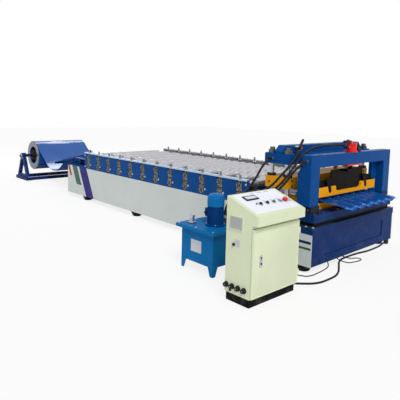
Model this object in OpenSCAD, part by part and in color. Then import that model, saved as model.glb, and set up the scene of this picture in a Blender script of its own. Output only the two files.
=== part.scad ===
// Roll forming line for wave profiled roof sheet: decoiler, bed with twelve roll stands,
// step press, cutter, hydraulic station and control cabinet.
// X runs along the line towards the exit, Y across it, Z up.

/* [Bed] */
// Length of the bed
bed_l = 5640; // [5640:10:5800]
// Width of the bed over its side panels
bed_w = 1880; // [1860:5:1900]
// Height of the bed under the roll stands
bed_h = 610; // [600:1:612]
// Height of the deck under the press and the cutter
deck_h = 508; // [500:1:510]
// Length of the low part of the bed
exit_l = 900; // [880:5:910]
// Height of the levelling feet
foot_h = 75; // [70:1:90]
// Distance between two feet along the bed
foot_pitch = 1615; // [1500:5:1620]
// Thickness of the side panels
panel_t = 6; // [2:1:8]
// Thickness of the webs of the bed rails
web_t = 14; // [8:1:20]
// Width of the flanges of the bed rails
flange_w = 120; // [100:5:140]

/* [Roll stands] */
// Distance between two stands
stand_pitch = 340; // [330:1:342]
// Distance from the exit end of the bed to the last stand
last_stand = 1079; // [1070:1:1090]
// Thickness of the side plates that carry the rolls
side_plate_t = 40; // [30:1:45]
// Height of the top of the side plates
plate_top = 890; // [885:1:900]
// Width of the slot for the bearing blocks
slot_w = 100; // [90:1:110]
// Height of the sheet in the rolls
pass_h = 750; // [748:1:752]
// Mean radius of a roll
roll_r = 72.5; // [65:0.5:72.5]
// Distance from the sheet to the axis of a roll
axis_rise = 75; // [75:0.5:77]
// Length of the working face of a roll
roll_l = 1290; // [1260:10:1320]
// Diameter of the roll journals
journal_d = 60; // [40:1:64]

/* [Sheet] */
// Thickness of the sheet
sheet_t = 3; // [2:0.5:3]
// Width of the flat strip
strip_w = 1250; // [1200:10:1250]
// Width of the formed sheet
sheet_w = 1180; // [1160:10:1190]
// Distance between two waves
wave_pitch = 183; // [170:1:190]
// Half the depth of a finished wave
wave_a = 12; // [6:1:13]
// Height of the step that the press makes in the sheet
step_h = 12; // [4:1:14]

/* [Press and cutter] */
// Length of the press crown and the cutter beam across the line
head_w = 1820; // [1780:10:1840]
// Distance from the exit end of the bed to the middle of the press
press_back = 540; // [530:5:545]
// Height of the underside of the press crown
crown_z = 1150; // [1140:5:1180]
// Diameter of the press pillars
pillar_d = 60; // [50:1:64]
// Travel of the press
press_stroke = 60; // [20:1:60]
// Height of the underside of the cutter beam
beam_z = 1140; // [1120:5:1160]
// Width of the knife across the line
knife_w = 1290; // [1260:10:1300]
// Height of the knife edge when it is up
knife_z = 788; // [786:1:795]

/* [Decoiler] */
// Distance from the reel axis to the exit end of the bed
reel_back = 8100; // [7900:10:8400]
// Height of the reel axis
reel_h = 560; // [550:1:600]
// Radius of the coil
coil_r = 330; // [300:5:380]
// Radius of the bore of the coil
coil_bore_r = 205; // [190:1:215]
// Diameter of the reel shaft
shaft_d = 70; // [60:1:80]

/* [Control cabinet] */
// Depth of the cabinet along the line
cab_d = 300; // [280:5:320]
// Width of the cabinet across the line
cab_w = 680; // [640:5:700]
// Height of the front of the cabinet under the console lip
cab_h = 716; // [700:1:740]
// Height of the back of the cabinet
cab_back_h = 970; // [940:5:990]
// Reach of the console lip in front of the door
lip_reach = 75; // [60:1:90]
// Thickness of the door
door_t = 18; // [12:1:20]

/* [Hydraulic station] */
// Length of the tank along the line
tank_l = 500; // [460:5:520]
// Depth of the tank across the line
tank_w = 440; // [420:5:460]
// Height of the top of the tank
tank_h = 470; // [450:5:480]
// Diameter of the pump motor
motor_d = 175; // [160:1:190]

/* [Hidden] */
stand_n = 12;
fit = 0.3;
run = 0.8;
clear = 5;
ins = 1;

// Bed
flange_t = 16;
rim_h = 74;
end_t = 10;
tie_w = 100;
tie_pitch = 720;
foot_r = 95;
foot_x0 = -158;
half_w = bed_w / 2;
deck_t = 18;

// Stands
mill_x0 = -last_stand - (stand_n - 1) * stand_pitch - 140;
mill_x1 = -last_stand + 140;
bar_t = 20;
bar_out = 10;
screw_d = 24;
screw_top = 46;
slot_rise = 20;
block_top = plate_top - 22;
block_gap = 2;
cover_r = 44;
axis_bottom = pass_h - axis_rise;
axis_top = pass_h + axis_rise;
inner_face = half_w - side_plate_t;
neck_r = 40;
neck_e = inner_face - 10;
journal_e = half_w - 12;

// Sheet
wave_n = 6;
wave_div = 10;
wave_l = wave_n * wave_pitch;
tip_x = 190;
droop_x = -340;
droop_k = 2.1e-4;
step_pitch = 350;
step_l = 10;
lap_gap = 5;
leave_a = 52;
table_x = mill_x0 - 670;
bend_x = table_x + 60;
lip_x = table_x - 820;
lip_drop = 170;
lip_r = 20;
arm_t = 12;
arm_y = strip_w / 2 + 20;

// Press
press_x = -press_back;
crown_t = 112;
crown_d = 345;
pillar_x = 115;
pillar_y = head_w / 2 - 65;
bolster_h = 62;
die_d = 270;
die_w = 1220;
die_z = 872;
die_t = 130;
ram_d = 60;
ram_y = 350;
ram_body_d = 120;
ram_flange_t = 25;
stiff_w = 110;
stiff_h = 95;

// Cutter
platform_z = 640;
slab_z = 552;
column_z = 725;
beam_t = 140;
beam_x0 = -190;
cut_x1 = -76;
column_w = 170;
column_x0 = -243;
knife_x = -150;
knife_t = 30;
knife_h = 112;
rod_x = (beam_x0 + cut_x1) / 2;
rod_d = 50;
red_d = 130;
guide_w = 60;

// Decoiler
reel_x = -reel_back;
frame_y = 860;
shaft_end = frame_y + 90;
hub_d = 140;
pad_inset = 30;

// Cabinet
cab_x0 = -161;
cab_x1 = cab_x0 + cab_d;
cab_y0 = -2090;
cab_y1 = cab_y0 + cab_w;
plinth_h = 80;
lip_rise = 34;
lip_h = 84;
wall = 3;
pin_d = 8;
knuckle_d = 18;
knuckle_h = 30;
hinge_x = cab_x1 + clear + door_t / 2;
hinge_y = cab_y1 + 12;
socket_l = 30;
slope_run = cab_d + lip_reach;
slope_rise = cab_back_h - cab_h - lip_rise - lip_h;
slope_l = norm([slope_run, slope_rise]);
slope_a = atan2(slope_rise, slope_run);

// Hydraulic station
tank_x0 = -1100;
tank_y0 = -1822;
tank_z0 = 100;
tank_wall = 4;
lid_out = 50;
lid_t = 20;
lid_top = tank_h + lid_t;
motor_x = tank_x0 + 300;
motor_y = tank_y0 + 220;
manifold_x = -760;
manifold_y = -1455;
manifold_h = 70;

// Cords
hose_d = 26;
cable_d = 22;
thin_cable_d = 12;
gland_l = 24;
hose_1_path = [[-600, -938, 1206], [-600, -970, 1206], [-640, -1035, 1115], [-690, -1090, 975],
  [-745, -1170, 840], [-785, -1330, 745], [-795, -1430, 690], [-795, -1455, 640], [-795, -1455, 610],
  [-795, -1455, 584]];
hose_2_path = [[-430, -640, 1334], [-400, -640, 1334], [-340, -720, 1325], [-318, -820, 1270],
  [-330, -930, 1160], [-380, -1030, 1040], [-470, -1130, 900], [-610, -1290, 790], [-720, -1420, 720],
  [-745, -1455, 650], [-745, -1455, 615],
  [-745, -1455, 584]];
hose_3_path = [[-133, -89, 1340], [-133, -122, 1340], [-150, -200, 1370], [-180, -310, 1366], [-215, -500, 1362],
  [-255, -680, 1322], [-270, -850, 1222], [-300, -980, 1075], [-370, -1110, 920], [-520, -1270, 780],
  [-660, -1420, 715], [-695, -1455, 650], [-695, -1455, 615],
  [-695, -1455, 584]];
hose_4_path = [[-133, -934, 1210], [-133, -968, 1210], [-200, -1045, 1105], [-280, -1110, 960],
  [-380, -1200, 830], [-500, -1330, 740], [-615, -1430, 700], [-645, -1455, 650], [-645, -1455, 615],
  [-645, -1455, 584]];
cable_1_path = [[-42, 836, 30], [-42, 806, 30], [-40, 720, 13], [-31, 590, 11], [-31, 354, 11],
  [-59, 160, 11], [-70, -56, 11], [-65, -190, 11], [-23, -327, 11], [60, -470, 11], [145, -623, 11],
  [192, -757, 11], [203, -910, 11], [198, -1039, 11], [165, -1140, 11], [105, -1220, 11],
  [55, -1280, 13], [26, -1340, 26], [26, -1364, 26], [26, -1386, 26]];
cable_2_path = [[-120, -1386, 26], [-120, -1366, 26], [-120, -1346, 26], [-128, -1240, 6], [-130, -1100, 6],
  [-60, -1040, 6], [-5, -1010, 6], [20, -930, 6], [17, -849, 6], [8, -717, 6], [-25, -560, 6],
  [-95, -450, 14], [-150, -410, 85], [-190, -402, 120], [-208, -402, 120], [-226, -402, 120]];
cable_3_path = [[-226, -215, 120], [-208, -215, 120], [-190, -215, 120], [-150, -200, 96], [-72, -150, 32],
  [-15, -80, 8], [10, -15, 6], [55, 12, 6], [92, -35, 6], [80, -150, 6], [45, -250, 8],
  [-30, -305, 32], [-110, -312, 72], [-190, -312, 120], [-208, -312, 120], [-226, -312, 120]];

mid_x = (reel_x - coil_r - lap_gap - sheet_t + cab_x1 + lip_reach) / 2;
mid_y = (cab_y0 - socket_l + half_w + bar_out) / 2;

first_roll = 15;

function tie_x(i) = -bed_l + 250 + i * tie_pitch;
function stand_x(i) = -last_stand - (stand_n - 1 - i) * stand_pitch;

// Places the line so that the origin is under the middle of its outline.
module placed() {
  translate([-mid_x, -mid_y, 0]) children();
}

// Repeats a near side piece on the far side.
module both_sides() {
  children();
  mirror([0, 1, 0]) children();
}

// A box between two corners.
module box(a, b) {
  translate(a) cube(b - a);
}

// A round bar along Y, centred on the line.
module cross_bar(d, l) {
  rotate([90, 0, 0]) cylinder(h = l, d = d, center = true, $fn = 48);
}

// A side view extruded across the line, from y0 over a width.
module across(y0, w) {
  translate([0, y0 + w, 0]) rotate([90, 0, 0]) linear_extrude(w) children();
}

// Plate girders with a high part under the stands and a low part under the press.
module bed_rails() {
  y0 = -half_w + panel_t;
  x0 = -bed_l + end_t;
  x1 = -2 * end_t;
  low = deck_h - rim_h;
  color("midnightblue") both_sides() {
    across(y0, web_t) polygon([[x0, foot_h], [x1, foot_h], [x1, low], [-exit_l, low],
      [-exit_l, bed_h], [x0, bed_h]]);
    box([x0, y0, foot_h], [x1, y0 + flange_w, foot_h + flange_t]);
    box([x0, y0, bed_h - flange_t], [-exit_l, y0 + flange_w, bed_h]);
    box([-exit_l, y0, low - flange_t], [x1, y0 + flange_w, low]);
    for (i = [0:5])
      box([tie_x(i) + tie_pitch / 2, y0, foot_h + flange_t],
        [tie_x(i) + tie_pitch / 2 + 12, y0 + flange_w - 20, bed_h - flange_t]);
  }
}

module bed_cross_members() {
  w = half_w - panel_t - web_t;
  z = foot_h + flange_t;
  color("midnightblue") for (i = [0:7]) translate([tie_x(i), 0, z]) difference() {
    box([0, -w, 0], [tie_w, w, tie_w]);
    box([8, -w - ins, 8], [tie_w - 8, w + ins, tie_w - 8]);
  }
}

// Deck with a deep rim, and the bolster that carries the lower die.
module exit_deck() {
  low = deck_h - rim_h;
  color("midnightblue") {
    box([-exit_l, -half_w, deck_h - deck_t], [0, half_w, deck_h]);
    both_sides() box([-exit_l, -half_w, low], [0, -half_w + 12, deck_h - deck_t]);
    box([-12, -half_w + 12, low], [0, half_w - 12, deck_h - deck_t]);
    box([press_x - die_d / 2 - 20, -die_w / 2 - 20, deck_h],
      [press_x + die_d / 2 + 20, die_w / 2 + 20, deck_h + bolster_h]);
  }
}

module bed_side_panels() {
  low = deck_h - rim_h;
  color("lightgray") both_sides() {
    box([-bed_l, -half_w, foot_h + 2], [-exit_l - 2, -half_w + panel_t, bed_h]);
    box([-exit_l, -half_w, foot_h + 2], [-4, -half_w + panel_t, low]);
  }
}

module bed_end_plates() {
  w = half_w - panel_t;
  color("royalblue") {
    difference() {
      box([-2 * end_t, -w, foot_h + 2], [-end_t, w, deck_h - rim_h]);
      box([-2 * end_t - ins, -w + 260, foot_h + 90], [-end_t + ins, w - 260, deck_h - rim_h - 60]);
    }
    box([-2 * end_t - 4, -w + 230, foot_h + 60], [-2 * end_t, w - 230, deck_h - rim_h - 30]);
    box([-bed_l, -w, foot_h + 2], [-bed_l + end_t, w, bed_h]);
  }
}

module levelling_feet() {
  color("black") both_sides() for (i = [0:3]) {
    translate([foot_x0 - i * foot_pitch, -half_w + foot_r, 0]) rotate_extrude($fn = 48)
      polygon([[0, 0], [62, 0], [70, 6], [84, foot_h - 33], [foot_r - 2, foot_h - 22],
        [foot_r, foot_h - 16], [foot_r, foot_h - 12], [34, foot_h - 10], [34, foot_h], [0, foot_h]]);
  }
}

module near_side_plate() {
  color("steelblue") side_plate();
}

module far_side_plate() {
  color("steelblue") mirror([0, 1, 0]) side_plate();
}

// Side plate with a slot from above for the bearing blocks of each stand.
module side_plate() {
  difference() {
    box([mill_x0, -half_w, bed_h], [mill_x1, -inner_face, plate_top]);
    for (i = [0:stand_n - 1])
      box([stand_x(i) - slot_w / 2, -half_w - ins, bed_h + slot_rise],
        [stand_x(i) + slot_w / 2, -inner_face + ins, plate_top + ins]);
  }
}

module bearing_blocks() {
  color("silver") both_sides() for (i = [0:stand_n - 1]) {
    bearing_block(stand_x(i), bed_h + slot_rise, pass_h - block_gap, axis_bottom);
    bearing_block(stand_x(i), pass_h + block_gap, block_top, axis_top);
  }
}

// Block with a through bore and a round cover on its outer face.
module bearing_block(x, z0, z1, axis) {
  w = slot_w / 2 - fit;
  difference() {
    union() {
      box([x - w, -half_w + 4, z0], [x + w, -inner_face + 6, z1]);
      translate([x, -half_w - 4, axis]) rotate([-90, 0, 0]) cylinder(h = 8, r = cover_r, $fn = 48);
    }
    translate([x, -half_w - 5, axis]) rotate([-90, 0, 0])
      cylinder(h = side_plate_t + 12, d = journal_d + 2 * run, $fn = 48);
  }
}

module pressure_bars() {
  color("lightsteelblue") both_sides() difference() {
    box([mill_x0, -half_w - bar_out, plate_top], [mill_x1, -inner_face + bar_out, plate_top + bar_t]);
    for (i = [0:stand_n - 1])
      translate([stand_x(i), -half_w + side_plate_t / 2, plate_top - ins])
        cylinder(h = bar_t + 2 * ins, d = screw_d + 2 * fit, $fn = 32);
  }
}

// Screws that press the upper bearing blocks down, each with a lock nut.
module adjusting_screws() {
  top = plate_top + bar_t;
  color("gray") both_sides() for (i = [0:stand_n - 1])
    translate([stand_x(i), -half_w + side_plate_t / 2, 0]) {
      translate([0, 0, block_top]) cylinder(h = top + screw_top - block_top, d = screw_d, $fn = 32);
      translate([0, 0, top]) cylinder(h = 18, d = 38, $fn = 6);
      translate([0, 0, top + screw_top - 14]) cylinder(h = 14, d = 32, $fn = 6);
    }
}

// Table in front of the stands with a sloping tray that takes the strip from the loop.
module infeed_table() {
  top = pass_h - sheet_t / 2 - 2 * fit;
  arm = 90;
  color("royalblue") {
    across(-half_w + 100, 2 * (half_w - 100))
      polygon([[lip_x, top - lip_drop], [bend_x, top], [mill_x0 - 1, top], [mill_x0 - 1, top - 12],
        [bend_x, top - 12], [lip_x, top - lip_drop - 12]]);
    translate([lip_x, 0, pass_h - lip_drop - 1.5 * lip_r]) cross_bar(2 * lip_r, 2 * (half_w - 100));
    both_sides() {
      across(-arm_y - arm_t, arm_t)
        polygon([[lip_x - 40, top - lip_drop - arm / 2], [lip_x - 40, top - lip_drop + 30],
          [bend_x, top + 45], [mill_x0 - 1, top + 45], [mill_x0 - 1, top - 60],
          [bend_x, top - 60], [lip_x, top - lip_drop - 60]]);
      for (x = [table_x + 20, mill_x0 - 80])
        box([x, -arm_y - arm_t - 60, bed_h], [x + 60, -arm_y - arm_t - 10, top - 12]);
      box([table_x + 20, -half_w + flange_w + 10, bed_h - flange_t], [mill_x0 - 20,
        -half_w + flange_w + 30, bed_h]);
      box([table_x + 20, -half_w + panel_t, bed_h], [mill_x0 - 20, -arm_y - arm_t - 10, bed_h + 12]);
      for (x = [table_x + 200, table_x + 480]) {
        translate([x, -strip_w / 2 - 20 - fit, top + sheet_t / 2 - 20]) cylinder(h = 60, d = 40, $fn = 32);
      }
    }
  }
}

// The wave of the sheet across the line, from -1 to 1, level past the outer crests.
function wave(y) = abs(y) > wave_l / 2 ? 1 : cos(360 * y / wave_pitch);
function stand_a(i) = wave_a * (i + 1) / stand_n;
function stand_w(i) = strip_w + (sheet_w - strip_w) * i / (stand_n - 1);

// Crosswise places at which the waves are drawn.
wave_ys = [for (k = [-wave_n * wave_div / 2 : wave_n * wave_div / 2]) k * wave_pitch / wave_div];

// A roll with its shaft and journals; side is 1 for a bottom roll and -1 for a top roll.
module roll(i, side) {
  e = roll_l / 2;
  a = stand_a(i);
  s = stand_w(i) / sheet_w;
  r = roll_r + side * a;
  j = journal_d / 2;
  rotate([-90, 0, 0]) rotate_extrude($fn = 64)
    polygon(concat(
      [[0, -journal_e], [j, -journal_e], [j, -neck_e], [neck_r, -neck_e], [neck_r, -e], [r, -e]],
      [for (y = wave_ys) [roll_r + side * a * wave(y), y * s]],
      [[r, e], [neck_r, e], [neck_r, neck_e], [j, neck_e], [j, journal_e], [0, journal_e]]));
}

module bottom_rolls() {
  color("silver") for (i = [0:stand_n - 1])
    translate([stand_x(i), 0, axis_bottom]) roll(i, 1);
}

module top_roll(i) {
  color("silver") translate([stand_x(i), 0, axis_top]) roll(i, -1);
}

// A point on a Bezier curve with four control points.
function bezier(p, t) = pow(1 - t, 3) * p[0] + 3 * pow(1 - t, 2) * t * p[1]
  + 3 * (1 - t) * t * t * p[2] + pow(t, 3) * p[3];

// The flat strip: last lap on the reel, sag loop, tray and table up to the first stand.
module steel_strip() {
  r = coil_r + lap_gap + sheet_t / 2;
  start = [reel_x + r * cos(leave_a), reel_h + r * sin(leave_a)];
  lip = [lip_x, pass_h - lip_drop];
  loop = [for (k = [1:24])
    bezier([start, start + 1000 * [sin(leave_a), -cos(leave_a)], lip + [-500, -420], lip], k / 24)];
  path = concat(
    [for (a = [300 : -6 : leave_a]) [reel_x + r * cos(a), reel_h + r * sin(a)]],
    loop, [[bend_x, pass_h], [stand_x(0), pass_h]]);
  color("royalblue") across(-strip_w / 2, strip_w) ribbon(path, sheet_t);
}

// A flat band of even thickness along a path.
module ribbon(path, t) {
  n = len(path);
  sides = [for (k = [0:n - 1])
    let (d = path[min(k + 1, n - 1)] - path[max(k - 1, 0)], u = d / norm(d))
    [-u[1], u[0]] * t / 2];
  polygon(concat([for (k = [0:n - 1]) path[k] + sides[k]],
    [for (k = [n - 1:-1:0]) path[k] - sides[k]]));
}

// Height of the middle of the sheet: level in the rolls, stepped by the press, then drooping.
function steps_at(x) = max(0, (x - press_x - step_l / 2) / step_pitch);
function sheet_h(x) = let (n = floor(steps_at(x)), f = steps_at(x) - n) pass_h
  - (x > droop_x ? droop_k * pow(x - droop_x, 2) : 0)
  + (x > press_x + step_pitch / 2 ? step_h * (f - 0.5) : 0);

// Points of the formed sheet across the line at one place.
function sheet_ring(x, z, a, w) = let (s = w / sheet_w,
    ys = concat([-sheet_w / 2], wave_ys, [sheet_w / 2]))
  concat([for (y = ys) [x, y * s, z + a * wave(y) + sheet_t / 2]],
    [for (k = [len(ys) - 1:-1:0]) [x, ys[k] * s, z + a * wave(ys[k]) - sheet_t / 2]]);

module formed_sheet() {
  step_1 = press_x + step_pitch;
  step_2 = press_x + 2 * step_pitch;
  level = [for (x = [-870, -700, droop_x, droop_x + 60, droop_x + 120]) [x, pass_h
    - (x > droop_x ? droop_k * pow(x - droop_x, 2) : 0)]];
  stepped = [for (s = [step_1, step_2]) each [for (k = [0, 1])
    [s + k * step_l, pass_h - droop_k * pow(s - droop_x, 2) + (s == step_1 ? 0 : step_h * 0.7)
      - k * step_h]]];
  tail = [[tip_x, stepped[3][1] - 3]];
  rings = concat(
    [for (i = [0:stand_n - 1]) sheet_ring(stand_x(i), pass_h, stand_a(i), stand_w(i))],
    [for (p = concat(level, stepped, tail)) sheet_ring(p[0], p[1], wave_a, sheet_w)]);
  color("royalblue") skin(rings);
}

// A closed solid through rings of points that run across it and back below.
module skin(rings) {
  n = len(rings[0]);
  m = len(rings);
  sides = [for (i = [0:m - 2]) for (k = [0:n - 1])
    let (j = (k + 1) % n) [i * n + k, i * n + j, (i + 1) * n + j, (i + 1) * n + k]];
  caps = [for (k = [0:n / 2 - 2]) [k, n - 1 - k, n - 2 - k, k + 1]];
  ends = [for (c = caps) [for (v = [3:-1:0]) c[v] + (m - 1) * n]];
  polyhedron([for (r = rings) for (p = r) p], concat(sides, caps, ends), convexity = 8);
}

// Pillars with a foot flange and a nut on the crown.
module press_pillars() {
  top = crown_z + crown_t;
  color("silver") both_sides() for (s = [-1, 1])
    translate([press_x + s * pillar_x, -pillar_y, 0]) {
      translate([0, 0, deck_h]) cylinder(h = top + 62 - deck_h, d = pillar_d, $fn = 48);
      translate([0, 0, top]) cylinder(h = 42, d = 96, $fn = 6);
      translate([0, 0, deck_h]) cylinder(h = 30, d = 104, $fn = 48);
    }
}

// The face of a die across the line, from a flat back to the waves of the sheet.
module die_block(back_z, gap) {
  e = die_w / 2;
  z = pass_h + gap;
  translate([press_x - die_d / 2, 0, 0]) rotate([90, 0, 90]) linear_extrude(die_d)
    polygon(concat([[-e, back_z], [-e, z + wave_a]], [for (y = wave_ys) [y, z + wave_a * wave(y)]],
      [[e, z + wave_a], [e, back_z]]));
}

module press_lower_die() {
  color("orange") die_block(deck_h + bolster_h, -sheet_t / 2 - fit);
}

module press_crown() {
  w = head_w / 2;
  top = crown_z + crown_t;
  color("steelblue") difference() {
    union() {
      box([press_x - crown_d / 2, -w, crown_z], [press_x + crown_d / 2, w, top]);
      translate([press_x - stiff_w / 2, 0, 0]) rotate([90, 0, 90]) linear_extrude(stiff_w)
        polygon([[-w + 30, top], [w - 30, top], [w - 30, top + 30], [w - 100, top + stiff_h],
          [-w + 100, top + stiff_h], [-w + 30, top + 30]]);
    }
    both_sides() {
      for (s = [-1, 1]) translate([press_x + s * pillar_x, -pillar_y, crown_z - ins])
        cylinder(h = crown_t + 2 * ins, d = pillar_d + 2 * fit, $fn = 48);
      translate([press_x, -ram_y, crown_z - ins])
        cylinder(h = crown_t + 40, d = ram_body_d * 0.8 + 2 * fit, $fn = 48);
    }
  }
}

// Cylinders flanged under the crown, with their upper ends inside it.
module press_cylinders() {
  low = crown_z - 75;
  color("black") both_sides() translate([press_x, -ram_y, 0]) difference() {
    union() {
      translate([0, 0, crown_z]) cylinder(h = crown_t + 30, d = ram_body_d * 0.8, $fn = 48);
      translate([0, 0, low]) cylinder(h = crown_z - low, d = ram_body_d, $fn = 48);
      translate([0, 0, crown_z - ram_flange_t]) cylinder(h = ram_flange_t, d = 170, $fn = 48);
    }
    translate([0, 0, low - ins]) cylinder(h = crown_z + crown_t - low, d = ram_d + 2 * run, $fn = 48);
  }
}

// Moving die: guide plate with bushes round the pillars, wave tool below, rods above.
module press_upper_die() {
  y = head_w / 2 - 5;
  rod_top = crown_z + crown_t - 20;
  color("orange") {
    difference() {
      union() {
        box([press_x - 155, -y, die_z], [press_x + 155, y, die_z + die_t]);
        both_sides() for (s = [-1, 1]) translate([press_x + s * pillar_x, -pillar_y, die_z + die_t])
          cylinder(h = 22, d = 100, $fn = 48);
      }
      both_sides() for (s = [-1, 1]) translate([press_x + s * pillar_x, -pillar_y, die_z - ins])
        cylinder(h = die_t + 24, d = pillar_d + 2 * run, $fn = 48);
    }
    die_block(die_z, sheet_t / 2 + clear + press_stroke);
    both_sides() translate([press_x, -ram_y, die_z + die_t])
      cylinder(h = rod_top - die_z - die_t, d = ram_d, $fn = 48);
  }
}

// Slab under the cutter, raised from the deck by a set back base.
module cutter_platform() {
  w = head_w / 2 - 20;
  color("steelblue") {
    box([-290, -w + 30, deck_h], [-40, w - 30, slab_z]);
    box([-300, -w, slab_z], [-20, w, platform_z]);
  }
}

// Portal columns on foot plates, with guide blocks for the knife on their inner faces.
module cutter_columns() {
  y0 = -head_w / 2;
  color("steelblue") both_sides() {
    across(y0, column_w)
      polygon([[cut_x1, column_z], [cut_x1, beam_z], [beam_x0 - 10, beam_z],
        [column_x0, beam_z - 60], [column_x0, column_z]]);
    box([column_x0 - 12, y0 + 22, platform_z], [cut_x1 + 12, y0 + column_w + 8, column_z]);
    box([knife_x - guide_w, y0 + column_w, column_z],
      [knife_x - knife_t / 2 - clear, -knife_w / 2 + 40, beam_z]);
  }
}

module cutter_beam() {
  w = head_w / 2;
  color("steelblue") difference() {
    box([beam_x0, -w, beam_z], [cut_x1, w, beam_z + beam_t]);
    translate([rod_x, 0, beam_z - ins])
      cylinder(h = beam_t + 2 * ins, d = rod_d + 2 * run, $fn = 48);
  }
}

// Cylinder on the beam and the plate under it that clamps it.
module cutter_cylinder() {
  color("red") translate([rod_x, 0, 0]) {
    translate([0, 0, beam_z + beam_t]) difference() {
      union() {
        cylinder(h = 112, d = red_d - 8, $fn = 48);
        translate([0, 0, 84]) cylinder(h = 28, d = red_d, $fn = 48);
        cylinder(h = 16, d = red_d + 20, $fn = 48);
      }
      translate([0, 0, -ins]) cylinder(h = 90, d = rod_d + 2 * run, $fn = 48);
    }
    difference() {
      box([-52, -150, beam_z - 20], [52, 150, beam_z]);
      translate([0, 0, beam_z - 20 - ins]) cylinder(h = 20 + 2 * ins, d = rod_d + 2 * run, $fn = 48);
    }
  }
}

// Knife with a wide notch and two slanting slots, hung from the rod on a carrier plate.
module cutter_knife() {
  w = knife_w / 2;
  z1 = knife_z + knife_h;
  notch_z = knife_z + 42;
  notch_w = 290;
  slot_y = 410;
  link_a = 22;
  plate_z = beam_z - 60;
  color("orange") translate([knife_x - knife_t / 2, 0, 0]) rotate([90, 0, 90])
    linear_extrude(knife_t) difference() {
      polygon([[-w, knife_z], [w, knife_z], [w, z1], [notch_w + 24, z1], [notch_w, z1 - 20],
        [notch_w, notch_z + 25], [notch_w - 25, notch_z], [-notch_w + 25, notch_z],
        [-notch_w, notch_z + 25], [-notch_w, z1 - 20], [-notch_w - 24, z1], [-w, z1]]);
      for (s = [-1, 1]) translate([s * slot_y, notch_z + 6]) rotate(link_a)
        polygon([[-32, 12], [-18, -18], [18, -18], [32, 12], [32, 150], [-32, 150]]);
    }
  color("black") {
    translate([knife_x - knife_t / 2 - 14, 0, 0]) rotate([90, 0, 90]) linear_extrude(15)
      polygon([[-w + 45, knife_z + 20], [w - 45, knife_z + 20], [w - 45, z1 + 60], [360, z1 + 90],
        [360, plate_z], [-360, plate_z], [-360, z1 + 90], [-w + 45, z1 + 60]]);
    for (s = [-1, 1]) translate([knife_x - knife_t / 2, s * slot_y, notch_z + 6]) rotate([90, 0, 90])
      linear_extrude(knife_t - 4) rotate(link_a)
        polygon([[-28, 10], [-16, -14], [16, -14], [28, 10], [28, 150], [-28, 150]]);
    box([knife_x - knife_t / 2, -110, plate_z - 30], [rod_x + 32, 110, plate_z - 2]);
    translate([rod_x, 0, plate_z - 4])
      cylinder(h = beam_z + beam_t + 54 - plate_z, d = rod_d, $fn = 48);
  }
}

module lower_knife() {
  z = pass_h - droop_k * pow(knife_x - knife_t / 2 - droop_x, 2) - step_h - wave_a - sheet_t / 2;
  color("orange") box([knife_x - 50, -knife_w / 2, platform_z], [knife_x - knife_t / 2, knife_w / 2, z - 4]);
}

module decoiler_base() {
  h = 70;
  color("midnightblue") {
    both_sides() box([reel_x - 330, -frame_y - 60, 0], [reel_x + 330, -frame_y + 60, h]);
    for (s = [-1, 1])
      box([reel_x + s * 270 - 35, -frame_y + 60, 0], [reel_x + s * 270 + 35, frame_y - 60, h]);
  }
}

// A trestle at each end of the reel shaft, with its bearing on top.
module decoiler_stands() {
  color("midnightblue") both_sides() difference() {
    union() {
      across(-frame_y - 35, 70) difference() {
        polygon([[-290, 70], [290, 70], [80, reel_h - 20], [-80, reel_h - 20]]
          + [for (k = [0:3]) [reel_x, 0]]);
        polygon([[-190, 120], [190, 120], [38, reel_h - 105], [-38, reel_h - 105]]
          + [for (k = [0:3]) [reel_x, 0]]);
      }
      translate([reel_x, -frame_y, reel_h]) cross_ring(70 + 60, 90);
      box([reel_x - 65, -frame_y - 35, reel_h - 60], [reel_x + 65, -frame_y + 35, reel_h]);
    }
    translate([reel_x, -frame_y, reel_h]) cross_ring(shaft_d + 2 * run, 120);
  }
}

// A round along Y about a point.
module cross_ring(d, l) {
  rotate([90, 0, 0]) cylinder(h = l, d = d, center = true, $fn = 48);
}

// Shaft with a hub and four pads that carry the bore of the coil.
module reel_mandrel() {
  color("black") translate([reel_x, 0, reel_h]) {
    cross_bar(shaft_d, 2 * shaft_end);
    cross_bar(hub_d, strip_w + 40);
    intersection() {
      cross_bar(2 * (coil_bore_r - fit), strip_w - 2 * pad_inset);
      for (a = [45 : 90 : 315]) rotate([0, a, 0])
        box([60, -strip_w / 2, -50], [coil_bore_r, strip_w / 2, 50]);
    }
  }
}

module steel_coil() {
  color("royalblue") across(-strip_w / 2, strip_w) translate([reel_x, reel_h]) difference() {
    circle(r = coil_r, $fn = 96);
    circle(r = coil_bore_r, $fn = 96);
  }
}

// Open tank on four tapering corner legs.
module tank_body() {
  w = tank_wall;
  color("dodgerblue") translate([tank_x0, tank_y0, 0]) {
    difference() {
      box([0, 0, tank_z0], [tank_l, tank_w, tank_h]);
      box([w, w, tank_z0 + w], [tank_l - w, tank_w - w, tank_h + ins]);
    }
    for (x = [0, 1]) for (y = [0, 1])
      translate([x * tank_l, y * tank_w, 0]) mirror([x, 0, 0]) mirror([0, y, 0]) tank_leg();
  }
}

// Angle leg that narrows towards the floor.
module tank_leg() {
  across(0, 6) polygon([[0, tank_z0], [75, tank_z0], [40, 0], [0, 0]]);
  rotate([90, 0, 90]) linear_extrude(6) polygon([[0, tank_z0], [75, tank_z0], [40, 0], [0, 0]]);
}

module tank_lid() {
  o = lid_out;
  color("dodgerblue") translate([tank_x0, tank_y0, 0]) {
    box([-o, -o, tank_h], [tank_l + o, tank_w + o, lid_top]);
    difference() {
      box([-o, -o, tank_h - 16], [tank_l + o, tank_w + o, tank_h]);
      box([-o + 5, -o + 5, tank_h - 17], [tank_l + o - 5, tank_w + o - 5, tank_h + ins]);
    }
  }
}

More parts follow.
